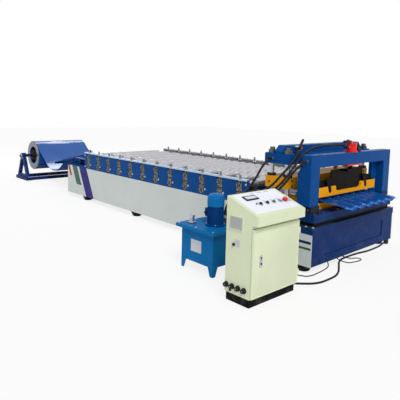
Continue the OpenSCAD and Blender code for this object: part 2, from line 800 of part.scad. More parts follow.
// Upright motor on its flange, with ribs and a domed fan cowl.
module pump_motor() {
  r = motor_d / 2;
  color("royalblue") translate([motor_x, motor_y, lid_top]) {
    rotate_extrude($fn = 64) polygon([[0, 0], [r + 22, 0], [r + 22, 16], [r - 6, 22], [r - 6, 215],
      [r + 6, 215], [r + 6, 300], [r, 322], [r - 14, 338], [r - 38, 348], [0, 352]]);
    for (a = [0 : 15 : 345]) rotate([0, 0, a]) box([r - 12, -2, 12], [r + 2, 2, 205]);
    box([-r - 30, -40, 90], [-r + 10, 40, 170]);
  }
}

// Filler, the block that takes the hoses, and the fittings at the hoses' other ends.
module hydraulic_fittings() {
  color("silver") {
    translate([tank_x0 + 60, tank_y0 + 90, lid_top]) {
      cylinder(h = 12, d = 90, $fn = 48);
      cylinder(h = 62, d = 56, $fn = 48);
      translate([0, 0, 62]) cylinder(h = 24, d = 66, $fn = 48);
    }
    translate([manifold_x - 60, manifold_y - 35, lid_top]) cube([200, 70, manifold_h]);
    for (k = [0:3]) translate([manifold_x - 35 + 50 * k, manifold_y, lid_top + manifold_h])
      cylinder(h = gland_l, d = 34, $fn = 32);
    translate([hose_1_path[0][0], -head_w / 2, crown_z + crown_t / 2]) near_gland(28, 40);
    translate([rod_x, -head_w / 2, beam_z + beam_t / 2]) near_gland(gland_l, 40);
    translate([rod_x, -red_d / 2 + 4, beam_z + beam_t + 60]) near_gland(28, 34);
    translate([press_x + stiff_w / 2, hose_2_path[0][1], crown_z + crown_t + 72]) rotate([0, 90, 0])
      cylinder(h = 55, d = 36, $fn = 32);
  }
}

// A fitting that stands out towards the near side.
module near_gland(l, d) {
  rotate([90, 0, 0]) cylinder(h = l, d = d, $fn = 32);
}

// The side view of the cabinet, from the plinth to the sloping console.
function cabinet_outline(t, front) = [[cab_x0 + t, plinth_h + t], [cab_x1 - t, plinth_h + t],
  [cab_x1 - t, cab_h + (front ? t : 0)], [cab_x1 + 12, cab_h + lip_rise + (front ? t : 0)],
  [cab_x1 + lip_reach - t, cab_h + lip_rise + (front ? t : 0)],
  [cab_x1 + lip_reach - t, cab_h + lip_rise + lip_h - t], [cab_x0 + t, cab_back_h - 1.1 * t]];

module cabinet_shell() {
  color("beige") {
    difference() {
      across(cab_y0, cab_w) polygon(cabinet_outline(0, false));
      across(cab_y0 + wall, cab_w - 2 * wall) polygon(cabinet_outline(wall, true));
      box([cab_x1 - 2 * wall, cab_y0 + 30, plinth_h + 30], [cab_x1 + ins, cab_y1 - 30, cab_h - 30]);
      for (k = [0:6]) for (y = [cab_y0 - ins, cab_y1 - wall - ins])
        box([cab_x0 + 34, y, cab_h - 36 + 16 * k], [cab_x0 + 152, y + wall + 2 * ins, cab_h - 28 + 16 * k]);
    }
    for (z = hinge_zs) fixed_hinge(z);
  }
}

hinge_zs = [plinth_h + 80, cab_h - 140];

// Fixed half of a hinge: a knuckle with the pin, on a leaf along the side of the cabinet.
module fixed_hinge(z) {
  translate([hinge_x, hinge_y, z]) {
    cylinder(h = knuckle_h, d = knuckle_d, $fn = 32);
    cylinder(h = 2 * knuckle_h, d = pin_d, $fn = 32);
  }
  box([cab_x1 - 40, cab_y1, z], [hinge_x, cab_y1 + 4, z + knuckle_h]);
  box([hinge_x - 4, cab_y1, z], [hinge_x + 4, hinge_y, z + knuckle_h]);
}

module cabinet_plinth() {
  color("black") difference() {
    box([cab_x0 + 10, cab_y0 + 10, 0], [cab_x1 - 10, cab_y1 - 10, plinth_h]);
    box([cab_x0 + 14, cab_y0 + 14, -ins], [cab_x1 - 14, cab_y1 - 14, plinth_h - 4]);
  }
}

// Door with folded edges; its knuckles turn on the pins above the fixed ones.
module cabinet_door() {
  x0 = cab_x1 + clear;
  y0 = cab_y0 + 6;
  y1 = cab_y1 - 6;
  z0 = plinth_h + 8;
  z1 = cab_h - 4;
  color("beige") {
    difference() {
      box([x0, y0, z0], [x0 + door_t, y1, z1]);
      box([x0 - ins, y0 + 3, z0 + 3], [x0 + door_t - 3, y1 - 3, z1 - 3]);
    }
    for (z = hinge_zs) difference() {
      union() {
        translate([hinge_x, hinge_y, z + knuckle_h + ins]) cylinder(h = knuckle_h, d = knuckle_d, $fn = 32);
        box([hinge_x - 4, y1 - 3, z + knuckle_h + ins], [hinge_x + 4, hinge_y, z + 2 * knuckle_h + ins]);
      }
      translate([hinge_x, hinge_y, z + knuckle_h])
        cylinder(h = knuckle_h + 2 * ins, d = pin_d + 2 * run, $fn = 32);
    }
  }
  color("black") {
    translate([x0 + door_t, cab_y0 + 109, 450]) rotate([0, 90, 0]) cylinder(h = 5, d = 26, $fn = 32);
    translate([x0 + door_t, cab_y0 + 109, 398]) rotate([0, 90, 0]) cylinder(h = 8, d = 18, $fn = 32);
  }
}

// Moves a piece on to the sloping top: X up the slope from its front edge, Z out of it.
module on_slope() {
  translate([cab_x1 + lip_reach, 0, cab_h + lip_rise + lip_h]) mirror([1, 0, 0])
    rotate([0, -slope_a, 0]) children();
}

module cabinet_console() {
  color("lavender") on_slope() box([50, cab_y0 + 40, 0], [slope_l - 22, cab_y1 - 40, 3]);
}

// Screen, indicator and the row of buttons with the stop button at its far end.
module console_controls() {
  row = 175;
  color("black") on_slope() {
    difference() {
      box([258, cab_y0 + 118, 3], [332, cab_y0 + 290, 8]);
      box([270, cab_y0 + 132, 6], [320, cab_y0 + 276, 9]);
    }
    translate([row + 14, cab_y0 + 175, 3]) cylinder(h = 8, d = 16, $fn = 32);
    for (k = [0:3]) translate([row, cab_y0 + 215 + 94 * k, 3]) {
      cylinder(h = 8, d = 34, $fn = 32);
      cylinder(h = 20, d = 24, $fn = 32);
    }
    translate([row - 8, cab_y0 + 560, 3]) {
      cylinder(h = 14, d = 34, $fn = 32);
      translate([0, 0, 14]) cylinder(h = 14, d = 46, $fn = 32);
    }
  }
}

// Plugs low on the near side of the cabinet, and the glands of the floor cables.
module cable_sockets() {
  color("black") {
    for (k = [0:3]) translate([cab_x0 + 24 + 72 * k, cab_y0, 150]) near_gland(socket_l, 42);
    translate([cab_x0 + 74, cab_y0, 108]) near_gland(14, 18);
    translate([cab_x0 + 103, cab_y0, 542]) near_gland(12, 26);
    for (p = [cable_1_path[len(cable_1_path) - 1], cable_2_path[0]])
      translate(p) near_gland(p[1] - cab_y1 + 10, 30);
    box([-60, 860, 8], [-24, 920, foot_h]);
    translate([cable_1_path[0][0], 860, cable_1_path[0][2]]) near_gland(gland_l, 30);
    for (y = [cable_2_path[len(cable_2_path) - 1][1], cable_3_path[0][1],
        cable_3_path[len(cable_3_path) - 1][1]])
      translate([tie_x(7) + tie_w, y, 120]) rotate([0, 90, 0]) cylinder(h = gland_l, d = 24, $fn = 32);
  }
}

// A point on the smooth curve through four points, between the middle two.
function passing(p, t) = 0.5 * (2 * p[1] + (p[2] - p[0]) * t
  + (2 * p[0] - 5 * p[1] + 4 * p[2] - p[3]) * t * t + (3 * p[1] - p[0] - 3 * p[2] + p[3]) * t * t * t);

// A path filled in so that its rings stand at most a given distance apart.
function filled(p, gap) = let (n = len(p)) concat([for (i = [0:n - 2])
  let (m = ceil(norm(p[i + 1] - p[i]) / gap)) each [for (k = [0:m - 1])
    passing([p[max(i - 1, 0)], p[i], p[i + 1], p[min(i + 2, n - 1)]], k / m)]], [p[n - 1]]);

// A round cord along a path; ref is a direction that the path never takes.
module cord(path, d, ref) {
  p = filled(path, 2.6 * d);
  n = len(p);
  rings = [for (i = [0:n - 1])
    let (dir = p[min(i + 1, n - 1)] - p[max(i - 1, 0)], a = cross(dir, ref), u = a / norm(a),
      b = cross(u, dir), v = b / norm(b))
    each [for (k = [0:7]) p[i] + d / 2 * (cos(45 * k) * u + sin(45 * k) * v)]];
  sides = [for (i = [0:n - 2]) for (k = [0:7])
    let (j = (k + 1) % 8) [i * 8 + k, i * 8 + j, (i + 1) * 8 + j, (i + 1) * 8 + k]];
  polyhedron(rings, concat(sides, [[7, 6, 5, 4, 3, 2, 1, 0]], [[for (k = [0:7]) (n - 1) * 8 + k]]));
}

module hose_1() {
  color("black") cord(hose_1_path, hose_d, [1, 0, 0]);
}

module hose_2() {
  color("black") cord(hose_2_path, hose_d, [0.4, 0, -1]);
}

module hose_3() {
  color("black") cord(hose_3_path, hose_d, [1, 0, 0]);
}

module hose_4() {
  color("black") cord(hose_4_path, hose_d, [1, 0, 0]);
}

module cable_1() {
  color("black") cord(cable_1_path, cable_d, [0, 0, 1]);
}

module cable_2() {
  color("black") cord(cable_2_path, thin_cable_d, [0, 0, 1]);
}

module cable_3() {
  color("black") cord(cable_3_path, thin_cable_d, [0, 0, 1]);
}

placed() bed_rails();
placed() bed_cross_members();
placed() exit_deck();
placed() bed_side_panels();
placed() bed_end_plates();
placed() levelling_feet();
placed() near_side_plate();
placed() far_side_plate();
placed() bearing_blocks();
placed() pressure_bars();
placed() adjusting_screws();
placed() infeed_table();
placed() steel_strip();
placed() formed_sheet();
placed() bottom_rolls();
for (i = [0:stand_n - 1])
  placed() top_roll(i);
placed() press_pillars();
placed() press_lower_die();
placed() press_crown();
placed() press_cylinders();
placed() press_upper_die();
placed() cutter_platform();
placed() cutter_columns();
placed() cutter_beam();
placed() cutter_cylinder();
placed() cutter_knife();
placed() lower_knife();
placed() decoiler_base();
placed() decoiler_stands();
placed() reel_mandrel();
placed() steel_coil();
placed() tank_body();
placed() tank_lid();
placed() pump_motor();
placed() hydraulic_fittings();
placed() cabinet_shell();
placed() cabinet_plinth();
placed() cabinet_console();
placed() cabinet_door();
placed() console_controls();
placed() cable_sockets();
placed() hose_1();
placed() hose_2();
placed() hose_3();
placed() hose_4();
placed() cable_1();
placed() cable_2();
placed() cable_3();
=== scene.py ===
from math import atan2, ceil, cos, pi, radians, sin
import bmesh
import bpy
from mathutils import Matrix, Vector


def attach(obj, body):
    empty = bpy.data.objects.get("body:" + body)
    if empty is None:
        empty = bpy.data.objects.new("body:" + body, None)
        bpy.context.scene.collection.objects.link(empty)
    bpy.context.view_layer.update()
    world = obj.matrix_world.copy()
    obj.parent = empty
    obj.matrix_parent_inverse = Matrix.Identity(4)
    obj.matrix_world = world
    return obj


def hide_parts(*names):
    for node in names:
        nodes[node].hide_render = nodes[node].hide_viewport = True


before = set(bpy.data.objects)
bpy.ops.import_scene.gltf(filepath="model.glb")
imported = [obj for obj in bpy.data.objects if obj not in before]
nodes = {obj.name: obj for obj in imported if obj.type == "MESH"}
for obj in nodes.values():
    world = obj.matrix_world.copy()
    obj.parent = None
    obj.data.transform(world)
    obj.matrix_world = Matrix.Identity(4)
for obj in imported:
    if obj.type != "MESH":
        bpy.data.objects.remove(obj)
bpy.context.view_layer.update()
scene = bpy.context.scene
print("frame loaded:", len(nodes), "nodes")

# places: the line's own drawing frame is in mm, X = 0 at the exit end, Y = 0 in the middle
lineOrigin = (-4112, -585)


def at(x, y, z):
    return Vector(((x - lineOrigin[0]) / 1000, (y - lineOrigin[1]) / 1000, z / 1000))


# camera
cameraView = {
    "place": (2663, -5025, 1730),
    "turn": 47.525,
    "down": 5.719,
    "roll": 1.437,
    "lens": 40.91,
    "lift": -0.11,
}


def addCamera():
    a, p, r = (radians(cameraView[k]) for k in ("turn", "down", "roll"))
    ahead = Vector((-sin(a) * cos(p), cos(a) * cos(p), -sin(p)))
    flatRight = Vector((cos(a), sin(a), 0))
    flatUp = flatRight.cross(ahead)
    right = cos(r) * flatRight + sin(r) * flatUp
    up = -sin(r) * flatRight + cos(r) * flatUp
    data = bpy.data.cameras.new("camera")
    data.sensor_width = 36
    data.lens = cameraView["lens"]
    data.shift_y = cameraView["lift"]
    cam = bpy.data.objects.new("camera", data)
    scene.collection.objects.link(cam)
    turn = Matrix((right, up, -ahead)).transposed().to_4x4()
    cam.matrix_world = Matrix.Translation(at(*cameraView["place"])) @ turn
    scene.camera = cam


addCamera()
print("camera placed")


# shader maths: sockets that add, subtract and compare
class Wire:
    def __init__(self, sheet, socket):
        self.sheet = sheet
        self.socket = socket

    def calc(self, operation, *others, clamp=False):
        return self.sheet.node("ShaderNodeMath", {"operation": operation, "use_clamp": clamp},
                               {i: v for i, v in enumerate((self,) + others)})

    def __add__(self, other):
        return self.calc("ADD", other)

    def __sub__(self, other):
        return self.calc("SUBTRACT", other)

    def __mul__(self, other):
        return self.calc("MULTIPLY", other)

    def __truediv__(self, other):
        return self.calc("DIVIDE", other)

    __radd__ = __add__
    __rmul__ = __mul__

    def __rsub__(self, other):
        return self.sheet.node("ShaderNodeMath", {"operation": "SUBTRACT"}, {0: other, 1: self})

    def over(self, limit):
        return self.calc("GREATER_THAN", limit)

    def under(self, limit):
        return self.calc("LESS_THAN", limit)

    def within(self, low, high):
        return self.over(low) * self.under(high)

    def size(self):
        return self.calc("ABSOLUTE")

    def capped(self):
        return self.calc("ADD", 0.0, clamp=True)


class Finish:

    def __init__(self, name):
        self.material = bpy.data.materials.new(name)
        self.material.use_nodes = True
        self.tree = self.material.node_tree
        self.shader = next(n for n in self.tree.nodes if n.type == "BSDF_PRINCIPLED")
        self.memo = {}

    def node(self, kind, settings=None, values=None, out=0):
        n = self.tree.nodes.new(kind)
        for key, value in (settings or {}).items():
            if key == "stops":
                for i, (place, colour) in enumerate(value):
                    stop = n.color_ramp.elements[i] if i < 2 else n.color_ramp.elements.new(place)
                    stop.position = place
                    stop.color = colour
            else:
                setattr(n, key, value)
        for key, value in (values or {}).items():
            if isinstance(value, Wire):
                self.tree.links.new(value.socket, n.inputs[key])
            else:
                n.inputs[key].default_value = value
        return Wire(self, n.outputs[out])

    def place(self):
        if "place" not in self.memo:
            n = self.tree.nodes.new("ShaderNodeTexCoord")
            self.memo["place"] = Wire(self, n.outputs["Object"])
        return self.memo["place"]

    def axes(self):
        if "axes" not in self.memo:
            n = self.tree.nodes.new("ShaderNodeSeparateXYZ")
            self.tree.links.new(self.place().socket, n.inputs[0])
            self.memo["axes"] = [Wire(self, s) for s in n.outputs]
        return self.memo["axes"]

    def facing(self):
        if "facing" not in self.memo:
            g = self.tree.nodes.new("ShaderNodeNewGeometry")
            n = self.tree.nodes.new("ShaderNodeSeparateXYZ")
            self.tree.links.new(g.outputs["Normal"], n.inputs[0])
            self.memo["facing"] = [Wire(self, s) for s in n.outputs]
        return self.memo["facing"]

    def stretched(self, x, y, z):
        return self.node("ShaderNodeVectorMath", {"operation": "MULTIPLY"},
                         {0: self.place(), 1: (x, y, z)})

    def noise(self, scale, detail=3.0, rough=0.55, vector=None):
        return self.node("ShaderNodeTexNoise", {}, {"Vector": vector or self.place(),
                         "Scale": scale, "Detail": detail, "Roughness": rough})

    def blendColour(self, factor, first, second):
        n = self.tree.nodes.new("ShaderNodeMix")
        n.data_type = "RGBA"
        for socket, value in ((n.inputs[0], factor), (n.inputs[6], first), (n.inputs[7], second)):
            if isinstance(value, Wire):
                self.tree.links.new(value.socket, socket)
            else:
                socket.default_value = value
        return Wire(self, n.outputs[2])

    def set(self, **values):
        for key, value in values.items():
            socket = self.shader.inputs[key.replace("_", " ")]
            if isinstance(value, Wire):
                self.tree.links.new(value.socket, socket)
            else:
                socket.default_value = value

    def bump(self, height, strength, distance):
        n = self.node("ShaderNodeBump", {}, {"Height": height, "Strength": strength,
                                             "Distance": distance})
        self.tree.links.new(n.socket, self.shader.inputs["Normal"])


def screen(r, g, b):
    def part(v):
        v /= 255
        return v / 12.92 if v < 0.04045 else ((v + 0.055) / 1.055) ** 2.4
    return (part(r), part(g), part(b), 1.0)


def dim(colour, factor):
    return tuple(c * factor for c in colour[:3]) + (1.0,)


paints = {
    "navy": {"colour": screen(12, 46, 102), "gloss": 0.34, "dust": 0.05},
    "blue": {"colour": screen(6, 72, 140), "gloss": 0.30, "dust": 0.03},
    "slab": {"colour": screen(8, 50, 104), "gloss": 0.36, "dust": 0.05},
    "black": {"colour": screen(16, 16, 19), "gloss": 0.42, "dust": 0.12},
    "orange": {"colour": screen(242, 164, 14), "gloss": 0.36, "dust": 0.06},
    "red": {"colour": screen(232, 14, 14), "gloss": 0.26, "dust": 0.04},
    "azure": {"colour": screen(8, 108, 172), "gloss": 0.30, "dust": 0.03},
    "motor": {"colour": screen(6, 62, 124), "gloss": 0.36, "dust": 0.03},
    "cream": {"colour": screen(222, 230, 198), "gloss": 0.44, "dust": 0.05},
    # painted highlight: the sloping console gets a bluish near-white, a lit copy of the cabinet's
    # cream, for the light falling on its top
    "lilac": {"colour": screen(240, 242, 252), "gloss": 0.40, "dust": 0.03},
    "white": {"colour": screen(206, 213, 210), "gloss": 0.40, "dust": 0.07},
}


# all paints: faint mottle, and pale grime that gathers towards the floor
wear = {"mottle": 2.3, "grime": 7.0, "height": 0.9, "pale": (0.36, 0.34, 0.31, 1.0), "sheen": 0.045}


def paintBase(name, colour, gloss, dust):
    f = Finish(name)
    mottle = f.noise(wear["mottle"], 4.0)
    grime = f.noise(wear["grime"], 6.0, 0.62)
    tone = f.blendColour(mottle * 0.8, dim(colour, 0.90), dim(colour, 1.07))
    low = 1.0 - f.axes()[2] / wear["height"]
    cover = ((grime - 0.45) * 2.6).capped() * (low.capped() * 0.7 + 0.3) * dust * 4
    pale = f.blendColour(0.5, colour, wear["pale"])
    f.set(Roughness=grime * 0.22 + (gloss - 0.09), Specular_IOR_Level=wear["sheen"])
    f.bump(f.noise(260.0, 2.0), 0.12, 0.002)
    return f, tone, cover.capped(), pale


def paint(name):
    f, tone, cover, pale = paintBase(name + "Paint", **paints[name])
    f.set(Base_Color=f.blendColour(cover, tone, pale))
    return f


def metal(name, colour, rough, streak=(1, 1, 1), scale=30.0, spread=0.25):
    f = Finish(name)
    grain = f.noise(scale, 5.0, 0.6, f.stretched(*streak))
    wide = f.noise(3.0, 3.0)
    f.set(Base_Color=f.blendColour(grain * 0.6 + wide * 0.4,
                                   dim(colour, 0.80), dim(colour, 1.10)),
          Metallic=0.9, Roughness=grain * spread + (rough - spread / 2))
    f.bump(grain, 0.18, 0.002)
    return f


finishes = {}


def lineMetres(x):
    return (x - lineOrigin[0]) / 1000


# bearing blocks: brown milled steel, a bright ring round each axle, dark joints between blocks, and
# painted shade: near-black bands along the top and bottom of the blocks, where the slots above and
# below them lie in shade
blocks = {
    "first": -1079,
    "pitch": 0.34,
    "middle": 0.75,
    "rise": 0.075,
    "ringIn": 0.022,
    "ringOut": 0.038,
    "joint": 0.006,
    "top": 0.860,
    "bottom": 0.634,
    "rust": ((0.030, 0.026, 0.020, 1), (0.15, 0.125, 0.085, 1)),
    "worn": (0.26, 0.24, 0.20, 1),
    "ring": ((0.20, 0.165, 0.09, 1), (0.62, 0.55, 0.38, 1)),
    "hub": (0.035, 0.038, 0.042, 1),
    # near-black for the dark joints between blocks, and painted shade for the bands above top and
    # below bottom
    "gap": (0.008, 0.008, 0.009, 1),
}


def makeBlockFinish():
    f = Finish("blockSteel")
    x, _, z = f.axes()
    mottle = f.noise(60.0, 6.0, 0.7)
    blotch = ((f.noise(38.0, 4.0, 0.6) - 0.46) * 7).capped()
    colour = f.blendColour(blotch, f.blendColour(mottle, *blocks["rust"]), blocks["worn"])
    along = x + (blocks["pitch"] * 20.5 - lineMetres(blocks["first"]))
    dx = along.calc("FLOORED_MODULO", blocks["pitch"]) - blocks["pitch"] / 2
    fromPass = (z - blocks["middle"]).size()
    dz = fromPass - blocks["rise"]
    reach = (dx * dx + dz * dz).calc("SQRT")
    outer = f.facing()[1].size().over(0.9)
    ring = reach.within(blocks["ringIn"], blocks["ringOut"]) * outer
    hub = reach.under(blocks["ringIn"]) * outer
    # dark joint at the pass line, and painted shade: near-black bands above the top and below the
    # bottom of the blocks
    gap = fromPass.under(blocks["joint"]) + z.over(blocks["top"]) + z.under(blocks["bottom"])
    colour = f.blendColour(ring * 0.85, colour, f.blendColour(mottle, *blocks["ring"]))
    colour = f.blendColour(hub * 0.8, colour, blocks["hub"])
    f.set(Base_Color=f.blendColour(gap.capped() * 0.92, colour, blocks["gap"]),
          Metallic=0.45, Roughness=mottle * 0.3 + 0.32)
    f.bump(mottle, 0.4, 0.004)
    finishes["blocks"] = f


# side panels: white, with slanted stripes at the infeed end and two short bars at the exit
panel = {
    "slant": 0.52,
    "top": 0.61,
    "stripes": [
        (-5.635, -5.568, 0.41, screen(176, 30, 28)),
        (-5.459, -5.263, 0.27, screen(74, 108, 92)),
        (-5.187, -4.905, 0.0, screen(50, 44, 118)),
    ],
    "barsFrom": -700,
    "barsTo": -14,
    "bars": [(0.33, 0.36, screen(22, 36, 92)), (0.265, 0.29, screen(44, 96, 72))],
}


def makePanelFinish():
    f, colour, cover, pale = paintBase("panelPaint", **paints["white"])
    x, _, z = f.axes()
    slanted = (x - lineMetres(0)) + (z - panel["top"]) * panel["slant"]
    for low, high, bottom, tint in panel["stripes"]:
        colour = f.blendColour(slanted.within(low, high) * z.over(bottom), colour, tint)
    nearExit = x.within(lineMetres(panel["barsFrom"]), lineMetres(panel["barsTo"]))
    for low, high, tint in panel["bars"]:
        colour = f.blendColour(nearExit * z.within(low, high), colour, tint)
    f.set(Base_Color=f.blendColour(cover * 0.6, colour, pale))
    finishes["panel"] = f


# coated strip: glossy blue, grey where the cut edges of the coil show, and a painted highlight: the
# exit-facing end faces of the formed sheet are painted a brighter blue
strip = {
    "film": (screen(12, 66, 134), screen(22, 84, 160)),
    # painted highlight: brighter blue for the exit-facing end faces of the sheet
    "endHighlight": screen(24, 120, 214),
    "laps": ((0.10, 0.10, 0.12, 1), (0.34, 0.35, 0.40, 1)),
    "coilX": -8100,
    "coilZ": 0.56,
    "coilEnd": -7500,
    "formedFrom": -320,
    "endHighlightFrom": 60,
}


def makeStripFinish():
    f = Finish("coatedStrip")
    x, _, z = f.axes()
    side = f.facing()[1].size().over(0.9) * z.under(1.02) * x.under(lineMetres(strip["coilEnd"]))
    dx = x - lineMetres(strip["coilX"])
    dz = z - strip["coilZ"]
    laps = f.node("ShaderNodeTexNoise", {"noise_dimensions": "1D"},
                  {"W": (dx * dx + dz * dz).calc("SQRT"), "Scale": 420.0, "Detail": 2.0})
    edge = f.blendColour(laps, *strip["laps"])
    wide = f.noise(1.6, 3.0)
    formed = x.over(lineMetres(strip["formedFrom"]))
    # painted highlight: faces at the sheet's end that look towards the exit are painted the
    # brighter blue
    endHighlight = x.over(lineMetres(strip["endHighlightFrom"])) * f.facing()[0].over(0.75)
    film = f.blendColour(endHighlight, f.blendColour(wide, *strip["film"]), strip["endHighlight"])
    f.set(Base_Color=f.blendColour(side, film, edge), Roughness=side * 0.3 + wide * 0.08 + 0.12,
          Metallic=side * 0.5, Coat_Weight=0.55 - formed * 0.45, Coat_Roughness=0.07,
          Specular_IOR_Level=0.1)
    f.bump(f.noise(2.0, 1.0), 0.02, 0.01)
    finishes["strip"] = f


# motor: ribbed dark blue body under an azure cowl
motor = {"cowlFrom": 0.70, "cowl": screen(12, 104, 170)}


def makeMotorFinish():
    f, tone, cover, pale = paintBase("motorPaint", **paints["motor"])
    both = f.blendColour(f.axes()[2].over(motor["cowlFrom"]), tone, motor["cowl"])
    f.set(Base_Color=f.blendColour(cover, both, pale))
    finishes["motor"] = f


# knife: orange plate in front of a black carrier
knife = {"back": -164.5, "front": -135.5, "plateTop": 0.8999, "carrier": screen(16, 13, 10)}


def makeKnifeFinish():
    f, tone, cover, pale = paintBase("knifePaint", **paints["orange"])
    x, _, z = f.axes()
    blade = x.over(lineMetres(knife["back"])) * z.under(knife["plateTop"])
    front = x.over(lineMetres(knife["front"]))
    plate = (blade * (front + f.facing()[0].size().under(0.5)).capped()).capped()
    f.set(Base_Color=f.blendColour(plate, knife["carrier"], f.blendColour(cover, tone, pale)))
    finishes["knife"] = f


# exit deck: navy rim, oily dark top with a worn sheen
deck = {"oil": (screen(20, 26, 40), screen(70, 78, 92))}


def makeDeckFinish():
    f, tone, cover, pale = paintBase("deckPaint", **paints["navy"])
    oil = f.blendColour((f.noise(9.0, 6.0, 0.7) * 1.6 - 0.4).capped(), *deck["oil"])
    top = f.facing()[2].over(0.7)
    f.set(Base_Color=f.blendColour(top, f.blendColour(cover, tone, pale), oil))
    finishes["deck"] = f


# bare steel: plain metals, pressure bars that are bluer on the near side (painted reflection: the
# near bars get a lighter, bluish steel, the far bars plain grey), pillars with dark nuts
metals = {
    "steel": ("brightSteel", (0.60, 0.62, 0.65, 1), 0.34, (4, 1, 4)),
    "dark": ("oiledSteel", (0.10, 0.10, 0.11, 1), 0.42),
    "screws": ("screwSteel", (0.26, 0.28, 0.27, 1), 0.40),
    "rolls": ("rollSurface", (0.50, 0.50, 0.53, 1), 0.36, (40, 1.5, 40), 6.0, 0.2),
    "bar": ("planedBar", (0.44, 0.55, 0.68, 1), 0.34, (0.3, 6, 6), 40.0),
    "pillars": ("pillarSteel", (0.60, 0.62, 0.65, 1), 0.34, (4, 1, 4)),
}
bars = {
    "nearTo": 0.585,
    "far": ((0.34, 0.35, 0.37, 1), (0.52, 0.53, 0.55, 1)),
    # painted reflection: lighter, bluish steel for the near-side bars
    "near": ((0.34, 0.46, 0.62, 1), (0.56, 0.68, 0.80, 1)),
}
pillars = {"nutsFrom": 1.262, "shaft": (0.60, 0.62, 0.65, 1), "nut": (0.13, 0.14, 0.15, 1)}


def makeMetalFinishes():
    for key, values in metals.items():
        finishes[key] = metal(*values)
    f = finishes["bar"]
    grain = f.noise(40.0, 4.0, 0.6, f.stretched(0.3, 6, 6))
    # painted reflection: the near-side bars take the lighter, bluish tones
    nearReflection = f.axes()[1].under(bars["nearTo"])
    f.set(Base_Color=f.blendColour(nearReflection, f.blendColour(grain, *bars["far"]),
                                   f.blendColour(grain, *bars["near"])))
    f = finishes["pillars"]
    nut = f.axes()[2].over(pillars["nutsFrom"])
    f.set(Base_Color=f.blendColour(nut, pillars["shaft"], pillars["nut"]))


# paints with a second tone: bare far plate behind the rolls, oily foot blocks, black slab base
twoTones = {
    "sidePlate": ("blue", (0.30, 0.31, 0.32, 1),
                  lambda f: f.axes()[1].over(0.9) * (f.facing()[1] * -1.0).over(0.5)),
    "portal": ("blue", screen(34, 40, 52), lambda f: f.axes()[2].under(0.7249)),
    "slab": ("slab", screen(22, 24, 30), lambda f: f.axes()[2].under(0.5519)),
}
plainFinishes = [
    ("rubber", (0.013, 0.013, 0.015, 1), 0.42),
    ("plastic", (0.018, 0.018, 0.020, 1), 0.40),
    ("pane", screen(216, 216, 228), 0.22),
    ("greenCap", screen(60, 150, 110), 0.35),
    ("redCap", screen(228, 48, 62), 0.32),
    ("whiteCap", screen(200, 202, 210), 0.38),
    ("plate", screen(196, 202, 208), 0.34),
    ("vent", screen(186, 190, 190), 0.55),
]


def makePaintFinishes():
    for name in ("navy", "blue", "black", "orange", "red", "azure", "cream", "lilac"):
        finishes[name] = paint(name)
    finishes["red"].set(Specular_IOR_Level=0.35)
    for name, (base, other, mask) in twoTones.items():
        f, tone, cover, pale = paintBase(name + "Paint", **paints[base])
        f.set(Base_Color=f.blendColour(mask(f), f.blendColour(cover, tone, pale), other))
        finishes[name] = f
    for name, colour, rough in plainFinishes:
        f = Finish(name)
        grain = f.noise(90.0, 3.0)
        f.set(Base_Color=f.blendColour(grain, dim(colour, 0.86), dim(colour, 1.08)),
              Roughness=grain * 0.12 + (rough - 0.06), Specular_IOR_Level=0.16)
        f.bump(f.noise(500.0, 2.0), 0.1, 0.001)
        finishes[name] = f


nodeFinish = {
    "navy": ["bed_rails", "bed_cross_members", "decoiler_base", "decoiler_stands",
             "bed_end_plates"],
    "deck": ["exit_deck"],
    "slab": ["cutter_platform"],
    "portal": ["cutter_columns"],
    "sidePlate": ["near_side_plate", "far_side_plate"],
    "panel": ["bed_side_panels"],
    "black": ["levelling_feet", "reel_mandrel", "press_cylinders", "cabinet_plinth"],
    "blue": ["infeed_table", "press_crown", "cutter_beam"],
    "blocks": ["bearing_blocks"],
    "bar": ["pressure_bars"],
    "screws": ["adjusting_screws"],
    "pillars": ["press_pillars"],
    "steel": ["hydraulic_fittings"],
    "rolls": ["bottom_rolls"] + ["top_roll_%02d" % i for i in range(1, 13)],
    "strip": ["steel_strip", "formed_sheet", "steel_coil"],
    "orange": ["press_lower_die", "press_upper_die", "lower_knife"],
    "knife": ["cutter_knife"],
    "red": ["cutter_cylinder"],
    "azure": ["tank_body", "tank_lid"],
    "motor": ["pump_motor"],
    "cream": ["cabinet_shell", "cabinet_door"],
    # painted highlight: the console is painted near-white, lighter than the cream shell
    "lilac": ["cabinet_console"],
    "plastic": ["console_controls", "cable_sockets"],
}


def dressNodes():
    for finish, names in nodeFinish.items():
        for name in names:
            node = nodes[name]
            if not node.material_slots:
                node.data.materials.append(None)
            for slot in node.material_slots:
                slot.material = finishes[finish].material


makePaintFinishes()
makeMetalFinishes()
makeBlockFinish()
makePanelFinish()
makeStripFinish()
makeMotorFinish()
makeKnifeFinish()
makeDeckFinish()
dressNodes()
print("finishes on the nodes")


